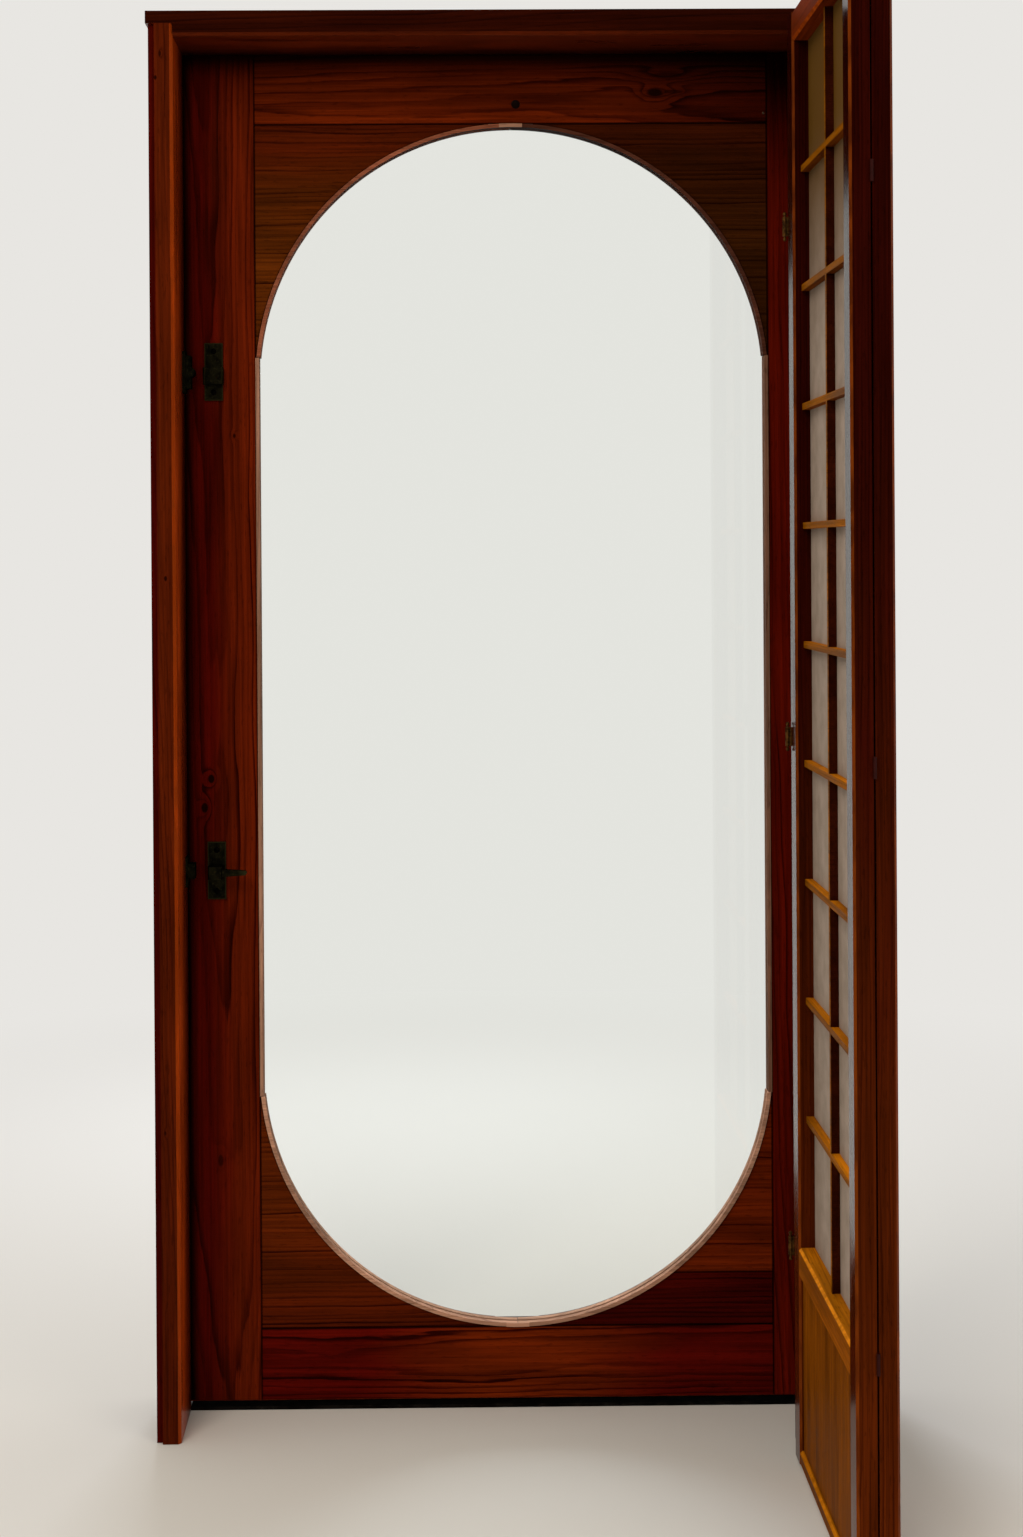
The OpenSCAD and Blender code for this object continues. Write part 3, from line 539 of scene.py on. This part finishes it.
class DOORSET_OT_leaf_timber(bpy.types.Operator):
    """Stains the leaf's stiles, rails and corner boards"""
    bl_idname = "doorset.leaf_timber"
    bl_label = "Leaf Timber"

    def execute(self, context):
        # The same varnish over stiles that turn crimson away from the pane, browner rails with bold
        # lines and level-grained boards, with dark joints between them. The crimson is partly stain and
        # partly painted shade, and painted shade darkens the leaf under the head and beside the jambs
        look = context.scene.doorset_finish
        self.stiles(look)
        self.rails(look)
        self.corners(look)
        return {"FINISHED"}

    def stiles(self, look):
        # The lock stile's crimson edge by the jamb is partly painted shade; painted shade darkens both
        # stiles under the head and beside the jambs, reaching far down the hinge stile
        board("varnished_cedar", "lock_stile", look.lock_stile_tone, "Z", pith=(8, 74), lean=1.3, ring=5.6,
              fray=0.7, seed=10.0, contrast=1.4, stain=("X", -PANE_X, 22, 74, look.crimson_stain_and_shade_tone),
              seams=(("X", -PANE_X),), grime=(("Z", OPENING_Z, 34), ("X", -OPENING_X, 14)),
              knots=((-408, 0, 847, 6, 1.4, 1.8), (-417, 0, 808, 6.5, 1.5, 1.8),
                     (-374, 0, 1308, 3, 1.6, 0.9), (-398.5, 0, 333, 6, 2.2, 0.7)))
        board("varnished_cedar", "hinge_stile", look.hinge_stile_tone, "Z", pith=(-12, 66), ring=5.2,
              seed=11.0, contrast=1.0, stain=("X", PANE_X, 12, 60, look.crimson_stain_and_shade_tone),
              seams=(("X", PANE_X),), grime=(("Z", OPENING_Z, 260), ("X", OPENING_X, 14)))

    def rails(self, look):
        ends = (("X", -PANE_X), ("X", PANE_X))
        # Painted shade darkens the top rail under the head; the crimson towards the rails' ends, more to the
        # top rail's right, is partly stain and partly painted shade
        board("varnished_cedar", "top_rail", look.top_rail_tone, "X", pith=(-26, 58), lean=0.9, ring=6.0,
              fray=1.1, seed=7.2, contrast=1.4,
              stain=("X", -150, 180, 520, tint(look.crimson_stain_and_shade_tone, 0.75, 1.6, 1.0)),
              seams=(("Z", PANE_HIGH), *ends, ("R", ARCH_HIGH)), grime=(("Z", OPENING_Z, 34),),
              knots=((195, 0, 1767, 9, 1.9, 1.0), (219, 0, 1768, 4, 6.0, 0.7), (212, 0, 1790, 7, 5.0, 0.6)))
        board("varnished_cedar", "bottom_rail", look.bottom_rail_tone, "X", pith=(14, 52), lean=1.1,
              ring=7.5, fray=1.3, seed=9.9, contrast=1.5,
              stain=("X", 10, 50, 230, tint(look.crimson_stain_and_shade_tone, 1.2, 1.1, 1.1)),
              seams=(("Z", PANE_LOW), *ends, ("R", ARCH_LOW)))

    def corners(self, look):
        upper, lower = (("Z", PANE_HIGH), ("R", ARCH_HIGH)), (("Z", PANE_LOW), ("R", ARCH_LOW))
        earth = tint(look.corner_tone, 0.72, 0.45, 0.5)
        # The last corner looks like two boards, the lower one crimson up to the joint between them
        joint = 176.4
        depth = ARCH_LOW[0] - joint
        # The upper right board is darker than the upper left, partly its own tone and partly painted shade
        for node, way, share, seed, middle, near, far, deep, seams in (
            ("corner_upper_left", -1, (0.9, 1.06, 0.9), 0.4, ARCH_HIGH[0], 170, 360, earth, upper),
            ("corner_upper_right", 1, (0.42, 0.62, 0.9), 3.5, ARCH_HIGH[0], 170, 360,
             tint(earth, 0.5, 0.7, 0.9), upper),
            ("corner_lower_left", -1, (1.0, 0.86, 0.9), 6.6, ARCH_LOW[0], 160, 380, earth, lower),
            ("corner_lower_right", 1, (1.4, 0.84, 0.8), 9.7, ARCH_LOW[0], depth - 0.8, depth + 0.8,
             tint(look.crimson_stain_and_shade_tone, 0.72), lower + (("Z", joint),)),
        ):
            board("varnished_cedar", node, tint(look.corner_tone, *share), "X", pith=(250 + 9 * seed, 40),
                  lean=0.5, wander=22.0, ring=6.2, fray=1.1, seed=seed, contrast=1.2, wear=0.0,
                  stain=("Z", middle, near, far, deep), seams=(("X", PANE_X * way),) + seams)


class DOORSET_OT_rim(bpy.types.Operator):
    """Finishes the bent rim"""
    bl_idname = "doorset.rim"
    bl_label = "Rim"

    def execute(self, context):
        # Steam-bent ash, sanded and hardly stained: pinkish, fine and even, with painted light where it
        # looks up and painted shade where it looks down. The upper arches are darker, the right one most,
        # and the right side is darker than the left: painted shade
        tone = context.scene.doorset_finish.rim_tone
        # Each piece's share darkens it: on the upper arches and the right side this is painted shade
        shares = {"rim_keys": (0.9,), "rim_arch_upper_left": (0.5, 0.3, 0.24),
                  "rim_arch_upper_right": (0.16, 0.1, 0.09), "rim_side_left": (0.65,),
                  "rim_side_right": (0.4, 0.36, 0.34)}
        for node in sorted(n for n in NODES if n.startswith("rim_")):
            wood = tint(tone, *shares.get(node, (0.8,)))
            board("bent_ash", node, wood, "Z" if "side" in node else "X", pith=(4, 30), ring=2.2,
                  wander=12.0, contrast=0.5, seed=len(node) * 0.6, finish=OILED, wear=0.0,
                  sides=(("Z", 1, tint(wood, 1.5, 1.6, 1.7)), ("Z", -1, tint(wood, 0.14, 0.11, 0.12))))
        return {"FINISHED"}


class DOORSET_OT_pane(bpy.types.Operator):
    """Makes the pane clear"""
    bl_idname = "doorset.pane"
    bl_label = "Pane"

    def execute(self, context):
        # Float glass: colourless face on, with its surroundings mirrored faintly
        material, tree = new_material("float_glass")
        body = linear("#fafdfb")
        shader = add_node(tree, "BsdfPrincipled", {
            "Base Color": body, "Roughness": 0.0, "IOR": 1.45, "Transmission Weight": 1.0})
        clear = add_node(tree, "BsdfTransparent", {"Color": body})
        shadow = add_node(tree, "LightPath").outputs["Is Shadow Ray"]
        both = add_node(tree, "MixShader", (shadow, shader, clear))
        add_node(tree, "OutputMaterial", {"Surface": both})
        paint_node("glass", material)
        return {"FINISHED"}


# Metal

# Each metal's rubbed and patinated tones, its roughness and the size of its blotches in millimetres
BRONZE = {"worn": linear("#332f1a"), "patina": linear("#0e0d07"), "rough": 0.5, "blotch": 9.0}
IRON = {"worn": linear("#1c1610"), "patina": linear("#040302"), "rough": 0.5, "blotch": 3.0}
BRASS = {"worn": linear("#84602c"), "patina": linear("#33200f"), "rough": 0.45, "blotch": 7.0}
STRIP = {"worn": linear("#2c2824"), "patina": linear("#0b0a09"), "rough": 0.55, "blotch": 16.0}
WIRE = {"worn": linear("#80705c"), "patina": linear("#33261c"), "rough": 0.45, "blotch": 3.0}


def metal(name, tone, worn, patina, rough, blotch, plate=None, tip=None):
    """Old metal: patina gathers in blotches and leaves the rest worn.

    A plate, given by its box, is rubbed along its edges, partly wear and partly a painted highlight, and a
    lever towards its tip's place in X.
    """
    material, tree = new_material(name)
    place = add_node(tree, "TexCoord").outputs["Object"]
    coords = add_node(tree, "SeparateXYZ", (place,)).outputs
    cloud = cells(tree, place, (blotch,) * 3, detail=5.0)
    scuff = cells(tree, place, (blotch * 0.3,) * 3, 3.0, detail=3.0)
    rub = add_node(tree, "MapRange", (scuff, 0.56, 0.74, 0.0, 0.7))
    if plate:
        low, high = plate
        # The plate's outline turns paler: partly wear, partly a painted highlight along its edges
        edge_wear_and_highlight = 0.0
        for axis, at in (("X", low.x), ("X", high.x), ("Z", low.z), ("Z", high.z)):
            gap = apart(tree, coords, axis, at / MM)
            near = add_node(tree, "MapRange", (gap, 0.7 * MM, 1.7 * MM, 0.8, 0.0))
            edge_wear_and_highlight = add_node(tree, "Math", (edge_wear_and_highlight, near), operation="MAXIMUM")
        broken = add_node(tree, "MapRange", (cloud, 0.3, 0.6, 0.4, 1.0))
        edge_wear_and_highlight = add_node(tree, "Math", (edge_wear_and_highlight, broken), operation="MULTIPLY")
        rub = add_node(tree, "Math", (rub, edge_wear_and_highlight), operation="MAXIMUM")
    if tip:
        rubbed_length = 12
        held = add_node(tree, "MapRange", (coords["X"], (tip - rubbed_length) * MM, tip * MM, 0.0, 0.9))
        rub = add_node(tree, "Math", (rub, held), operation="MAXIMUM")
    gathered = add_node(tree, "MapRange", (cloud, 0.42, 0.6))
    colour = add_node(tree, "Mix", {"Factor": gathered, "A": tone, "B": patina}, data_type="RGBA")
    colour = add_node(tree, "Mix", {"Factor": rub, "A": colour, "B": worn}, data_type="RGBA")
    dull = add_node(tree, "MapRange", (cloud, *MOST, rough - 0.1, rough + 0.2))
    # Casting grit of about 1 mm, coarser than the real 0.2 mm so that it shows
    grit = cells(tree, place, (1.1,) * 3)
    normal = add_node(tree, "Bump", {"Height": grit, "Strength": 0.2, "Distance": 0.4 * MM})
    # Dirt keeps the metal from turning pale towards its outline
    shader = add_node(tree, "BsdfPrincipled", {
        "Base Color": colour, "Metallic": 0.85, "Roughness": dull, "Normal": normal,
        "Specular Tint": linear("#806a50"), "Specular IOR Level": 0.15})
    add_node(tree, "OutputMaterial", {"Surface": shader})
    return material


def bronze(name, **where):
    """Cast bronze gone dark olive, with browner rubbed places."""
    return metal(name, bpy.context.scene.doorset_finish.bronze_tone, **BRONZE, **where)


class DOORSET_OT_metalwork(bpy.types.Operator):
    """Finishes the locks, the hinges and the threshold"""
    bl_idname = "doorset.metalwork"
    bl_label = "Metalwork"

    def execute(self, context):
        look = context.scene.doorset_finish
        aged = bronze("aged_bronze")
        for node in ("upper_keeper", "lower_keeper", "hinge_jamb_plates", "hinge_door_plates"):
            paint_node(node, aged)
        plate_low, plate_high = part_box("lever_plate")
        for node in ("upper_lock", "lever_plate", "outer_lever_plate", "key_plate"):
            low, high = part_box(node)
            box = (Vector((plate_low.x, 0, low.z)), Vector((plate_high.x, 0, high.z)))
            paint_node(node, bronze("aged_bronze_" + node, plate=box))
        for node in ("room_lever", "outer_lever"):
            paint_node(node, bronze("aged_bronze_" + node, tip=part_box(node)[1].x / MM))
        # Turned brass gone brown, golden where hands and doors have rubbed it
        paint_node("screen_hinges", metal("worn_brass", look.brass_tone, **BRASS))
        # The fold hinges take the shaded stile tone: painted shade that hides them in the groove between the
        # stiles
        paint_node("fold_hinges", self.shaded_brass(look.shaded_stile_tone))
        # Rolled steel strip, nearly black and a little scuffed
        paint_node("threshold", metal("worn_threshold_steel", linear("#15120f"), **STRIP))
        return {"FINISHED"}

    def shaded_brass(self, tone):
        """Brass as dark as the stiles it joins, painted shade for the groove between them, and dull."""
        material, tree = new_material("shade_dark_brass")
        place = add_node(tree, "TexCoord").outputs["Object"]
        cloud = cells(tree, place, (7.0,) * 3, detail=4.0)
        colour = shaded(tree, tone, add_node(tree, "MapRange", (cloud, *MOST, 0.7, 1.3)))
        shader = add_node(tree, "BsdfPrincipled", {"Base Color": colour, "Roughness": 0.5,
                                                   "Specular IOR Level": 0.1})
        add_node(tree, "OutputMaterial", {"Surface": shader})
        return material


# Fixings

def only(*objects):
    """Selects these objects alone, the last of them active."""
    bpy.ops.object.select_all(action="DESELECT")
    for obj in objects:
        obj.select_set(True)
        bpy.context.view_layer.objects.active = obj


def raise_top(steps):
    """Insets the flat top face and lifts it, once for each (inset, lift) step."""
    for inset, lift in steps:
        bpy.ops.mesh.inset(thickness=inset)
        bpy.ops.transform.translate(value=(0, 0, lift))


def turned_head(name, width, rim, steps):
    """A round head that faces +Z, turned from a disc whose rim stands this far above the origin."""
    depth = 1.0 * MM
    bpy.ops.object.select_all(action="DESELECT")
    bpy.ops.mesh.primitive_cylinder_add(vertices=32, radius=width / 2, depth=depth,
                                        location=(0, 0, rim - depth / 2))
    head = bpy.context.object
    head.name = name
    bpy.ops.object.mode_set(mode="EDIT")
    mesh = bmesh.from_edit_mesh(head.data)
    for face in mesh.faces:
        face.select_set(face.normal.z > 0.9)
    bmesh.update_edit_mesh(head.data)
    raise_top(steps)
    bpy.ops.object.mode_set(mode="OBJECT")
    bpy.ops.object.transform_apply(location=True, rotation=True, scale=True)
    return head


def slot_across(head, width, depth, top):
    """Cuts a screwdriver slot across a head, down from that height."""
    bpy.ops.object.select_all(action="DESELECT")
    bpy.ops.mesh.primitive_cube_add(size=1.0, location=(0, 0, top))
    cutter = bpy.context.object
    cutter.scale = (20 * MM, width, 2 * depth)
    only(head)
    cut = head.modifiers.new("slot", "BOOLEAN")
    cut.operation = "DIFFERENCE"
    cut.object = cutter
    bpy.ops.object.modifier_apply(modifier=cut.name)
    only(cutter)
    bpy.ops.object.delete()
    only(head)
    soften(head, 0.12 * MM)


def soften(obj, width):
    """Rounds the sharp edges a little."""
    sharp = math.radians(35)
    only(obj)
    bevel = obj.modifiers.new("soften", "BEVEL")
    bevel.width = width
    bevel.segments = 2
    bevel.limit_method = "ANGLE"
    bevel.angle_limit = sharp
    bpy.ops.object.modifier_apply(modifier=bevel.name)
    bpy.ops.object.shade_smooth_by_angle(angle=sharp)


def set_out(pattern, places, facing, body, material):
    """Copies a pattern to each (name, place, turn) with its own mesh, and removes the pattern."""
    for name, place, turn in places:
        only(pattern)
        bpy.ops.object.duplicate(linked=False)
        piece = bpy.context.object
        piece.name = name
        piece.rotation_euler = (0, 0, math.radians(turn))
        bpy.ops.object.transform_apply(location=True, rotation=True, scale=True)
        piece.rotation_euler = facing
        piece.location = place
        bpy.ops.object.transform_apply(location=True, rotation=True, scale=True)
        paint(piece, material)
        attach(piece, body)
    only(pattern)
    bpy.ops.object.delete()


FACE_ROOM = (math.pi / 2, 0, 0)
FACE_OUT = (-math.pi / 2, 0, 0)
FACE_LEFT = (0, -math.pi / 2, 0)
FACE_RIGHT = (0, math.pi / 2, 0)


class DOORSET_OT_lock_screws(bpy.types.Operator):
    """Adds the slotted, domed screws of the lock plates on both faces"""
    bl_idname = "doorset.lock_screws"
    bl_label = "Lock Screws"

    def execute(self, context):
        sizes = context.scene.doorset_fixings
        width, rise = sizes.lock_screw_d, sizes.screw_rise
        # Iron screws gone black, darker than the bronze round them
        iron = metal("blackened_iron", context.scene.doorset_finish.iron_tone, **IRON)
        # The plates' screw holes lie this far from their ends
        from_end = 11 * MM
        turns = iter((18, -34, 72, 8, -12, 51, 33, -63))
        for plates, facing, side in ((("upper_lock", "lever_plate"), FACE_ROOM, "room"),
                                     (("key_plate", "outer_lever_plate"), FACE_OUT, "outer")):
            head = turned_head("screw_pattern", width, rise * 0.15,
                               ((width * 0.1, rise * 0.4), (width * 0.14, rise * 0.22),
                                (width * 0.12, rise * 0.08)))
            slot_across(head, 0.9 * MM, 0.7 * MM, rise)
            plate_low, plate_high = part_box(plates[1])
            x = (plate_low.x + plate_high.x) / 2
            face = plate_low.y if side == "room" else plate_high.y
            places = []
            for node in plates:
                low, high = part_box(node)
                for end, z in (("low", low.z + from_end), ("high", high.z - from_end)):
                    places.append((f"{side}_{node}_screw_{end}", (x, face, z), next(turns)))
            set_out(head, places, facing, "door", iron)
        return {"FINISHED"}


class DOORSET_OT_hinge_screws(bpy.types.Operator):
    """Adds the flush countersunk screws of the door's hinges"""
    bl_idname = "doorset.hinge_screws"
    bl_label = "Hinge Screws"

    def execute(self, context):
        sizes = context.scene.doorset_fixings
        # Each hinge is 100 mm high, and its plates face each other across a gap in its middle
        hinge_h, half_gap = 100 * MM, 1 * MM
        # A plate's screws, in millimetres back from its front edge and up from its middle
        holes = ((8, -38), (17, -16), (8, 16), (17, 38))
        jamb_low, jamb_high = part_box("hinge_jamb_plates")
        door_low, door_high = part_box("hinge_door_plates")
        mid_x = (jamb_low.x + jamb_high.x) / 2
        mids = (door_low.z + hinge_h / 2, (door_low.z + door_high.z) / 2, door_high.z - hinge_h / 2)
        aged = bronze("aged_bronze_screws")
        seat = 0.05 * MM
        turns = iter(range(0, 360 * 12, 37))
        for node, front, x, facing, body in (
            ("hinge_jamb_plate", jamb_low.y, mid_x + half_gap, FACE_LEFT, "frame"),
            ("hinge_door_plate", door_low.y, mid_x - half_gap, FACE_RIGHT, "door"),
        ):
            head = turned_head("screw_pattern", sizes.hinge_screw_d, seat,
                               ((0.5 * MM, sizes.flush_rise - 2 * seat),))
            slot_across(head, 1.0 * MM, 0.25 * MM, sizes.flush_rise)
            places = [(f"{node}_{k}_screw_{step}", (x, front + back * MM, mid + up * MM), next(turns))
                      for k, mid in enumerate(mids, 1) for step, (back, up) in enumerate(holes, 1)]
            set_out(head, places, facing, body, aged)
        return {"FINISHED"}


class DOORSET_OT_rail_fixings(bpy.types.Operator):
    """Adds the dark plug and the nail head in the top rail"""
    bl_idname = "doorset.rail_fixings"
    bl_label = "Rail Fixings"

    def execute(self, context):
        sizes = context.scene.doorset_fixings
        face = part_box("top_rail")[0].y
        plug_x, plug_z = 7 * MM, 1752 * MM
        nail_x, nail_z = 341 * MM, 1739 * MM
        # End grain soaked with stain: nearly black
        plug_wood = timber("stained_end_grain", linear("#0e0807"), "Y", Vector((plug_x, 0, plug_z)),
                           pith=(1, 1), ring=1.6, wander=2.0, contrast=0.8, wear=0.0)
        plug = turned_head("plug_pattern", sizes.plug_d, 0.15 * MM,
                           ((0.5 * MM, 0.2 * MM), (1.5 * MM, 0.15 * MM), (2.0 * MM, 0.05 * MM)))
        soften(plug, 0.1 * MM)
        set_out(plug, (("top_rail_plug", (plug_x, face, plug_z), 0),), FACE_ROOM, "door",
                plug_wood)
        nail = turned_head("nail_pattern", sizes.nail_d, 0.1 * MM,
                           ((0.4 * MM, 0.25 * MM), (0.5 * MM, 0.1 * MM)))
        soften(nail, 0.08 * MM)
        # Drawn steel wire, its head dulled by varnish
        steel = metal("dull_nail_steel", linear("#5a4838"), **WIRE)
        set_out(nail, (("top_rail_nail", (nail_x, face, nail_z), 0),), FACE_ROOM, "door", steel)
        return {"FINISHED"}


# Folding screen

class DOORSET_OT_screen_timber(bpy.types.Operator):
    """Finishes the folding screen's stiles, rails, lattice and boards"""
    bl_idname = "doorset.screen_timber"
    bl_label = "Screen Timber"

    def execute(self, context):
        # Planed and oiled cedar: rubbed red-brown stiles, golden rails and bars, flat-sawn boards. The same
        # cedar is painted lit and shaded: rails paler than the stiles, the top rail darker, the stiles
        # darker higher up
        look = context.scene.doorset_finish
        # Upper faces of rails and bars get the gold tone: painted light from above
        lit_rail, up = look.lit_rail_tone, ("Z", 1, look.lit_top_tone)
        # The lattice is paler in front, where daylight falls on it, and its bars are shaded underneath
        lit, under = ("X", -1, tint(lit_rail, 0.95, 1.1, 0.1)), ("Z", -1, tint(lit_rail, 0.7, 0.6, 0.3))
        for leaf, log in (("front", 0.0), ("back", 7.0)):
            for part in ("far_stile", "near_stile"):
                board("oiled_cedar", f"{leaf}_{part}", look.screen_tone, "Z", pith=(30, 52), ring=2.8,
                      lean=0.5, wander=14.0, contrast=0.7, seed=len(part) * 1.1 + log, finish=RUBBED,
                      wear=0.7, stain=("Z", 0, 150, 1300, look.shaded_stile_tone))
            for part, tone, sides in (
                ("top_rail", tint(lit_rail, 0.6, 0.3, 0.6), ()),
                ("middle_rail", lit_rail, (up,)),
                ("bottom_rail", tint(lit_rail, 0.75), (up,)),
                ("lattice", look.bar_tone, (lit, under, up)),
            ):
                board("oiled_cedar", f"{leaf}_{part}", tone, "Y", pith=(20, 60), ring=2.6, lean=0.6,
                      wander=14.0, contrast=0.6, seed=len(part) * 1.3 + log, finish=OILED, wear=0.9,
                      sides=sides)
            board("oiled_cedar", f"{leaf}_board", look.board_tone, "Z", pith=(16, 46), ring=7.0, lean=1.6,
                  contrast=0.6, seed=4.0 + log, finish=OILED, wear=0.0)
        return {"FINISHED"}


class DOORSET_OT_paper(bpy.types.Operator):
    """Makes the screen's paper"""
    bl_idname = "doorset.paper"
    bl_label = "Paper"

    def execute(self, context):
        tone = context.scene.doorset_finish.paper_tone
        for leaf in ("front", "back"):
            paint_node(leaf + "_paper", self.sheet(leaf, tone))
        return {"FINISHED"}

    def sheet(self, leaf, tone):
        """Mulberry paper: cloudy pulp with long pale fibres, which lets light through softly."""
        material, tree = new_material("mulberry_paper_" + leaf)
        place = add_node(tree, "TexCoord").outputs["Object"]
        cloud = add_node(tree, "MapRange", (cells(tree, place, (30, 30, 30), detail=4.0), 0.35, 0.65))
        colour = add_node(tree, "Mix", {"Factor": cloud, "A": tint(tone, 0.86, 0.86, 0.84),
                                        "B": tint(tone, 1.06)}, data_type="RGBA")
        # Fibres are drawn 0.6 mm wide, coarser than the real 0.05 mm so that they show
        hair = cells(tree, place, (14, 14, 22), 2.0, twist=1.6)
        ridge = add_node(tree, "Math", (hair, 0.5), operation="SUBTRACT")
        ridge = add_node(tree, "Math", (ridge,), operation="ABSOLUTE")
        thread = add_node(tree, "MapRange", (ridge, 0.0, 0.012, 0.4, 0.0))
        colour = add_node(tree, "Mix", {"Factor": thread, "A": colour, "B": tint(tone, 1.25)},
                          data_type="RGBA")
        # Painted shade darkens and browns the sheet towards its top
        height = add_node(tree, "SeparateXYZ", (place,)).outputs["Z"]
        shade_towards_top = add_node(tree, "MapRange", (height, 1350 * MM, 1680 * MM), interpolation_type="SMOOTHSTEP")
        colour = add_node(tree, "Mix", {"Factor": shade_towards_top, "A": colour, "B": tint(tone, 0.3, 0.17, 0.014)},
                          data_type="RGBA")
        shader = add_node(tree, "BsdfPrincipled", {"Base Color": colour, "Roughness": 0.85,
                                                   "Specular IOR Level": 0.15})
        glow = add_node(tree, "BsdfTranslucent", {"Color": colour})
        mixed = add_node(tree, "MixShader", (0.15, shader, glow))
        add_node(tree, "OutputMaterial", {"Surface": mixed})
        return material


class DOORSET_PT_panel(bpy.types.Panel):
    """The door set's steps and settings"""
    bl_label = "Door Set"
    bl_idname = "DOORSET_PT_panel"
    bl_space_type = "VIEW_3D"
    bl_region_type = "UI"
    bl_category = "Door Set"

    def draw(self, context):
        scene = context.scene
        for step in STEPS:
            self.layout.operator(step.bl_idname)
        for group in (scene.doorset_stage, scene.doorset_finish, scene.doorset_fixings):
            for name in group.bl_rna.properties.keys():
                if name not in {"rna_type", "name"}:
                    self.layout.prop(group, name)


STEPS = (DOORSET_OT_stage, DOORSET_OT_frame_timber, DOORSET_OT_leaf_timber, DOORSET_OT_rim, DOORSET_OT_pane,
         DOORSET_OT_metalwork, DOORSET_OT_lock_screws, DOORSET_OT_hinge_screws, DOORSET_OT_rail_fixings,
         DOORSET_OT_screen_timber, DOORSET_OT_paper)
CLASSES = (StageSettings, FinishSettings, FixingSettings) + STEPS + (DOORSET_PT_panel,)


def register():
    for item in CLASSES:
        bpy.utils.register_class(item)
    bpy.types.Scene.doorset_stage = bpy.props.PointerProperty(type=StageSettings)
    bpy.types.Scene.doorset_finish = bpy.props.PointerProperty(type=FinishSettings)
    bpy.types.Scene.doorset_fixings = bpy.props.PointerProperty(type=FixingSettings)


def unregister():
    del bpy.types.Scene.doorset_stage
    del bpy.types.Scene.doorset_finish
    del bpy.types.Scene.doorset_fixings
    for item in reversed(CLASSES):
        bpy.utils.unregister_class(item)


def main():
    register()
    for step in STEPS:
        group, name = step.bl_idname.split(".")
        getattr(getattr(bpy.ops, group), name)()


if __name__ == "__main__":
    main()
